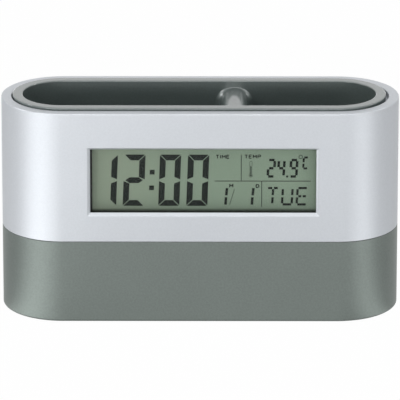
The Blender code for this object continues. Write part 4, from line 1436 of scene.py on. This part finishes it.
class CLOCK_OT_contacts(bpy.types.Operator):
    """Make the battery contacts with their conical springs"""

    bl_idname = "clock.contacts"
    bl_label = "Contacts"
    bl_options = {"REGISTER", "UNDO"}

    def execute(self, context):
        steel = plated_steel(context.scene.clock_colours)
        cells = [corners(f"battery_{number}") for number in (1, 2)]
        axes = [middle.yz for middle in middles("battery", 2)]
        link = gathered(
            plate_shape((-25.3, -24.8), (-10.4, 8.4), PLATE_Z),
            spring_shape(-24.7, cells[0][0].x - 0.32, axes[0]),
            button_dimple(-24.8, 1, axes[1]),
        )
        piece("contact_link", link, steel, ["link_contact"])
        touches = {
            "positive": (axes[0].x, button_dimple(24.8, -1, axes[0])),
            "negative": (axes[1].x, spring_shape(24.7, cells[1][1].x + 0.32, axes[1])),
        }
        for name, (y, touch) in touches.items():
            plate = plate_shape((24.8, 25.3), (y - 4, y + 4), PLATE_Z, (y - 1, y + 1, TAB_TOP))
            piece(f"contact_{name}", gathered(plate, touch), steel, [f"{name}_contact"])
        return {"FINISHED"}


def button_dimple(x, way, centre):
    """The low round boss pressed into a plate where a nub touches it."""
    dome = [(x - way * 0.1, 1.7), (x + way * 0.08, 1.6), (x + way * 0.2, 1.2), (x + way * 0.24, 0.4)]
    return turned(dome, centre, "X", 24)


class CLOCK_OT_battery_door(bpy.types.Operator):
    """Make the battery door with its grip, hooks and snap tongue"""

    bl_idname = "clock.battery_door"
    bl_label = "Battery door"
    bl_options = {"REGISTER", "UNDO"}

    def execute(self, context):
        low, high = corners("battery_door")
        z = (1.15, 2.85)
        shape = box((low.x, high.x), (-12.7, 10.7), z)
        hook = [
            (-12.55, 2.0, 0.0),
            (-11.4, 2.0, 0.0),
            (-11.4, 4.1, 0.3),
            (-14.2, 4.1, 0.2),
            (-14.2, 3.35, 0.2),
            (-12.55, 3.35, 0.2),
        ]
        tongue = [
            (8.8, 2.0, 0.0),
            (9.8, 2.0, 0.0),
            (9.8, 3.5, 0.0),
            (10.05, 3.9, 0.2),
            (9.8, 4.4, 0.2),
            (9.5, 4.8, 0.1),
            (8.8, 4.8, 0.2),
        ]
        hooks = [prism(eased(hook, steps=3), "X", side - 3, side + 3) for side in HOOK_X]
        shape = plus(shape, *hooks, prism(eased(tongue, steps=3), "X", -5.0, 5.0))
        grips = [rounded_rect((0.0, y), (14.0, 0.8), 0.38) for y in (4.4, 6.2, 8.0)]
        shape = less(shape, *(prism(grip, "Z", 0.5, 1.5) for grip in grips))
        shape = soften(shape, 0.2, lambda point: point.z < z[0] + 0.05)
        finish = grey_plastic("door_plastic", context.scene.clock_colours.grey)
        piece("door", shape, finish, ["battery_door"], "battery_door")
        return {"FINISHED"}


# Buttons and feet

SHEET_FACE = 18.1
# Place along Y, and how far the cap's outline is drawn in there
BUTTON_CROWN = (
    (20.2, 0.0),
    (22.55, 0.0),
    (22.75, 0.04),
    (22.92, 0.16),
    (23.02, 0.4),
    (23.07, 1.0),
    (23.1, 1.7),
)
# Place along Y and radius
KEY_DOME = ((17.95, 3.9), (18.1, 3.85), (18.6, 3.4), (19.3, 2.75), (19.6, 2.5), (19.7, 2.3))


class CLOCK_OT_buttons(bpy.types.Operator):
    """Make the four buttons and the rubber sheet whose domes spring them back"""

    bl_idname = "clock.buttons"
    bl_label = "Buttons"
    bl_options = {"REGISTER", "UNDO"}

    def execute(self, context):
        size = in_millimetres(context.scene.clock_sizes)
        colours = context.scene.clock_colours
        finish = grey_plastic("button_plastic", colours.grey, roughness=0.36)
        soft = rubber("key_rubber", colours)
        low, high = corners("rubber_keypad")
        outline = rounded_rect((0.0, KEY_Z), (high.x - low.x, high.z - low.z), 1.5)
        sheet = prism(outline, "Y", KEY_BOARD_FACE, SHEET_FACE)
        piece("key_sheet", sheet, soft, ["rubber_keypad"])
        width, height = size.button_width, size.button_height
        for number, button in enumerate(middles("button"), 1):
            middle = (button.x, KEY_Z)
            levels = [
                (y, rounded_rect(middle, (width - 2 * inset, height - 2 * inset), 2.25 - inset))
                for y, inset in BUTTON_CROWN
            ]
            plate = prism(rounded_rect(middle, (width + 2.2, height + 2.2), 2.3), "Y", 20.0, 20.8)
            shape, body = plus(stacked(levels, "Y"), plate), f"button_{number}"
            piece(f"button_cap_{number}", shape, finish, [body], body)
            dome = turned(KEY_DOME, middle, "Y")
            spring = piece(f"key_dome_{number}", dome, soft)
            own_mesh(spring)
        return {"FINISHED"}


class CLOCK_OT_feet(bpy.types.Operator):
    """Make the four rubber feet"""

    bl_idname = "clock.feet"
    bl_label = "Feet"
    bl_options = {"REGISTER", "UNDO"}

    def execute(self, context):
        finish = rubber("foot_rubber", context.scene.clock_colours)
        for number in range(1, 5):
            node = f"foot_{number}"
            low, high = corners(node)
            radius = (high.x - low.x) / 2
            profile = [(0.25, 1.6), (0.2, 2.0), (0.0, 2.3), (0.0, radius - 0.7), (0.08, radius - 0.5)]
            profile += [(0.3, radius - 0.35), (1.0, radius - 0.05), (high.z, radius)]
            pad = turned(profile, middle_of(node).xy, sides=56)
            piece(f"foot_pad_{number}", pad, finish, [node])
        return {"FINISHED"}


# Stage


# Where each soft light stands, what it faces, and its width and length, in metres
CLOCK_MIDDLE = (0.0, 0.0, 0.06)
SOFT_BOXES = {
    "front_light": ("front", (0.0, -1.8, 0.22), (0.0, 0.0, 0.1), 1.2, 0.4),
    "overhead_front_light": ("overhead_front", (0.0, -0.45, 1.15), CLOCK_MIDDLE, 0.8, 0.5),
    "back_light": ("back", (0.0, 1.8, 0.13), CLOCK_MIDDLE, 1.4, 0.2),
    "left_box": ("left_box", (-0.5, -0.75, 0.48), CLOCK_MIDDLE, 0.16, 0.3),
    "right_box": ("right_box", (0.55, -0.6, 0.6), CLOCK_MIDDLE, 0.4, 0.5),
    "left_side": ("left_side", (-0.95, -0.15, 0.42), CLOCK_MIDDLE, 0.12, 0.12),
    "right_side": ("right_side", (0.95, 0.0, 0.42), CLOCK_MIDDLE, 0.12, 0.12),
}
# Each card's end of the clock, its middle angle and half its spread, in degrees
CARDS = {"left_card": (-1, -42.0, 48.0), "right_card": (1, 46.0, 33.0)}
CARD_REACH = (40.0, 65.0, 110.0, 200.0, 400.0, 800.0)
CARD_HEIGHT = 0.4
CARD_VEIL = 0.1  # Share of the floor that a card hides where it glows most
CAMERA_PLACE = (0.00351, -2.0, 0.73157)
CAMERA_LOOKS_DOWN, CAMERA_LOOKS_LEFT, CAMERA_TILT = 0.33048, 0.00177, 0.00045  # In radians
CAMERA_SHIFT = -0.0235


def soft_box(name, brightness, place, aim, across, along):
    """A soft light of a given brightness, turned to an aim."""
    lamp = bpy.data.lights.new(name, "AREA")
    lamp.shape = "RECTANGLE"
    lamp.size, lamp.size_y = across, along
    lamp.energy = brightness * math.pi * across * along
    made = bpy.data.objects.new(name, lamp)
    made.location = place
    made.rotation_euler = (Vector(aim) - Vector(place)).to_track_quat("-Z", "Y").to_euler()
    bpy.context.scene.collection.objects.link(made)


def table_card(name, brightness, side, azimuth, spread):
    """A fan-shaped glowing card that lies on the table before one rounded end, unseen by the camera."""
    low, high = (corner / MM for corner in CAD_BOUNDS)
    radius = high.y
    middle = (side * (high.x - radius), 0.0)
    shape = bmesh.new()
    grid = []
    for reach in (radius + 1, *CARD_REACH):
        row = arc(middle, reach, azimuth - 90 - spread, azimuth - 90 + spread, 24)
        grid.append([shape.verts.new(Vector((x, y, CARD_HEIGHT)) * MM) for x, y in row])
    for near, far in zip(grid, grid[1:]):
        for a, b, c, d in zip(near, near[1:], far[1:], far):
            shape.faces.new((a, d, c, b))
    mesh = bpy.data.meshes.new(name)
    shape.to_mesh(mesh)
    shape.free()
    finish = Finish(name, {})
    x, y, _ = finish.xyz()
    turn = (x - middle[0]).maths("ARCTAN2", middle[1] - y) * (180 / math.pi)
    across = (1 - abs(turn - azimuth) / spread).between(0.0, 1.0)
    upper = 1 - Varying(finish, finish.node("NewGeometry").outputs["Backfacing"])
    glow = finish.node("Emission", None, {"Color": (1.0, 1.0, 1.0), "Strength": brightness / CARD_VEIL})
    clear = finish.node("BsdfTransparent")
    veil = across * upper * CARD_VEIL
    mix = finish.node("MixShader", None, {0: veil, 1: clear.outputs[0], 2: glow.outputs[0]})
    finish.feed(finish.tree.nodes["Material Output"].inputs["Surface"], mix.outputs[0])
    mesh.materials.append(finish.material)
    card = bpy.data.objects.new(name, mesh)
    card.visible_camera = card.visible_shadow = False
    bpy.context.scene.collection.objects.link(card)


def white_world(stage):
    """Plain white surroundings: full white where they are seen, and softer where they light the clock."""
    world = bpy.data.worlds.new("surroundings")
    world.use_nodes = True
    graph = Graph(world.node_tree)
    background = world.node_tree.nodes["Background"]
    background.inputs["Color"].default_value = (1.0, 1.0, 1.0, 1.0)
    seen = graph.rays("Camera", "Glossy", "Transmission")
    graph.feed(background.inputs["Strength"], stage.ambient + seen * (1 - stage.ambient))
    bpy.context.scene.world = world


def floor_finish(colours):
    """Pale matt floor that shows nearly white and keeps a soft shadow."""
    finish = Finish("floor", {"Roughness": 0.9, "Specular IOR Level": 0.1})
    tone = finish.noise(60.0)
    finish.surface(Base_Color=finish.blend(tone, shade(colours.floor, 0.99), colours.floor))
    glow = finish.node("Emission", None, {"Color": (1.0, 1.0, 1.0), "Strength": 1.0}).outputs[0]
    factor = finish.rays("Camera", "Glossy", "Transmission") * 0.6 + finish.rays("Camera") * 0.39
    mix = finish.node("MixShader", None, {0: factor, 1: finish.shader.outputs[0], 2: glow})
    finish.feed(finish.tree.nodes["Material Output"].inputs["Surface"], mix.outputs[0])
    return finish.material


class CLOCK_OT_stage(bpy.types.Operator):
    """Make the floor, the soft lights and the camera"""

    bl_idname = "clock.stage"
    bl_label = "Floor, lights and camera"
    bl_options = {"REGISTER", "UNDO"}

    def execute(self, context):
        scene, stage = context.scene, context.scene.clock_stage
        mesh = bpy.data.meshes.new("floor")
        shape = bmesh.new()
        bmesh.ops.create_grid(shape, x_segments=4, y_segments=4, size=4.0)
        shape.to_mesh(mesh)
        shape.free()
        mesh.materials.append(floor_finish(scene.clock_colours))
        floor = bpy.data.objects.new("floor", mesh)
        scene.collection.objects.link(floor)
        white_world(stage)
        for name, placing in CARDS.items():
            table_card(name, getattr(stage, name), *placing)
        for name, (level, *placing) in SOFT_BOXES.items():
            soft_box(name, getattr(stage, level), *placing)
        camera = bpy.data.cameras.new("camera")
        camera.sensor_width = 36.0
        camera.lens = stage.lens
        camera.shift_y = CAMERA_SHIFT
        camera.clip_start, camera.clip_end = 0.01, 20.0
        made = bpy.data.objects.new("camera", camera)
        turns = ((CAMERA_LOOKS_LEFT, "Z"), (math.pi / 2 - CAMERA_LOOKS_DOWN, "X"), (CAMERA_TILT, "Z"))
        pose = Matrix.Translation(CAMERA_PLACE)
        for angle, axis in turns:
            pose = pose @ Matrix.Rotation(angle, 4, axis)
        made.matrix_world = pose
        scene.collection.objects.link(made)
        scene.camera = made
        scene.view_settings.view_transform = "Standard"
        return {"FINISHED"}


PIECES = (
    CLOCK_OT_sleeve,
    CLOCK_OT_base,
    CLOCK_OT_pen_cup,
    CLOCK_OT_display,
    CLOCK_OT_display_frame,
    CLOCK_OT_board,
    CLOCK_OT_screws,
    CLOCK_OT_leads,
    CLOCK_OT_sounder,
    CLOCK_OT_cells,
    CLOCK_OT_contacts,
    CLOCK_OT_battery_door,
    CLOCK_OT_buttons,
    CLOCK_OT_feet,
    CLOCK_OT_stage,
)


class CLOCK_PT_panel(bpy.types.Panel):
    """Lists the clock's pieces, sizes, colours and stage"""

    bl_idname = "CLOCK_PT_panel"
    bl_label = "Pen Holder Clock"
    bl_space_type = "VIEW_3D"
    bl_region_type = "UI"
    bl_category = "Clock"

    def draw(self, context):
        for operator in PIECES:
            self.layout.operator(operator.bl_idname)
        for group in (context.scene.clock_sizes, context.scene.clock_colours, context.scene.clock_stage):
            column = self.layout.box().column(align=True)
            for name in type(group).__annotations__:
                column.prop(group, name)


CLASSES = (ClockSizes, ClockColours, ClockStage, *PIECES, CLOCK_PT_panel)


def register():
    for cls in CLASSES:
        bpy.utils.register_class(cls)
    bpy.types.Scene.clock_sizes = bpy.props.PointerProperty(type=ClockSizes)
    bpy.types.Scene.clock_colours = bpy.props.PointerProperty(type=ClockColours)
    bpy.types.Scene.clock_stage = bpy.props.PointerProperty(type=ClockStage)


def unregister():
    del bpy.types.Scene.clock_stage
    del bpy.types.Scene.clock_colours
    del bpy.types.Scene.clock_sizes
    for cls in reversed(CLASSES):
        bpy.utils.unregister_class(cls)


def main():
    """Build every piece in order."""
    register()
    for operator in PIECES:
        group, name = operator.bl_idname.split(".")
        getattr(getattr(bpy.ops, group), name)()


if __name__ == "__main__":
    main()
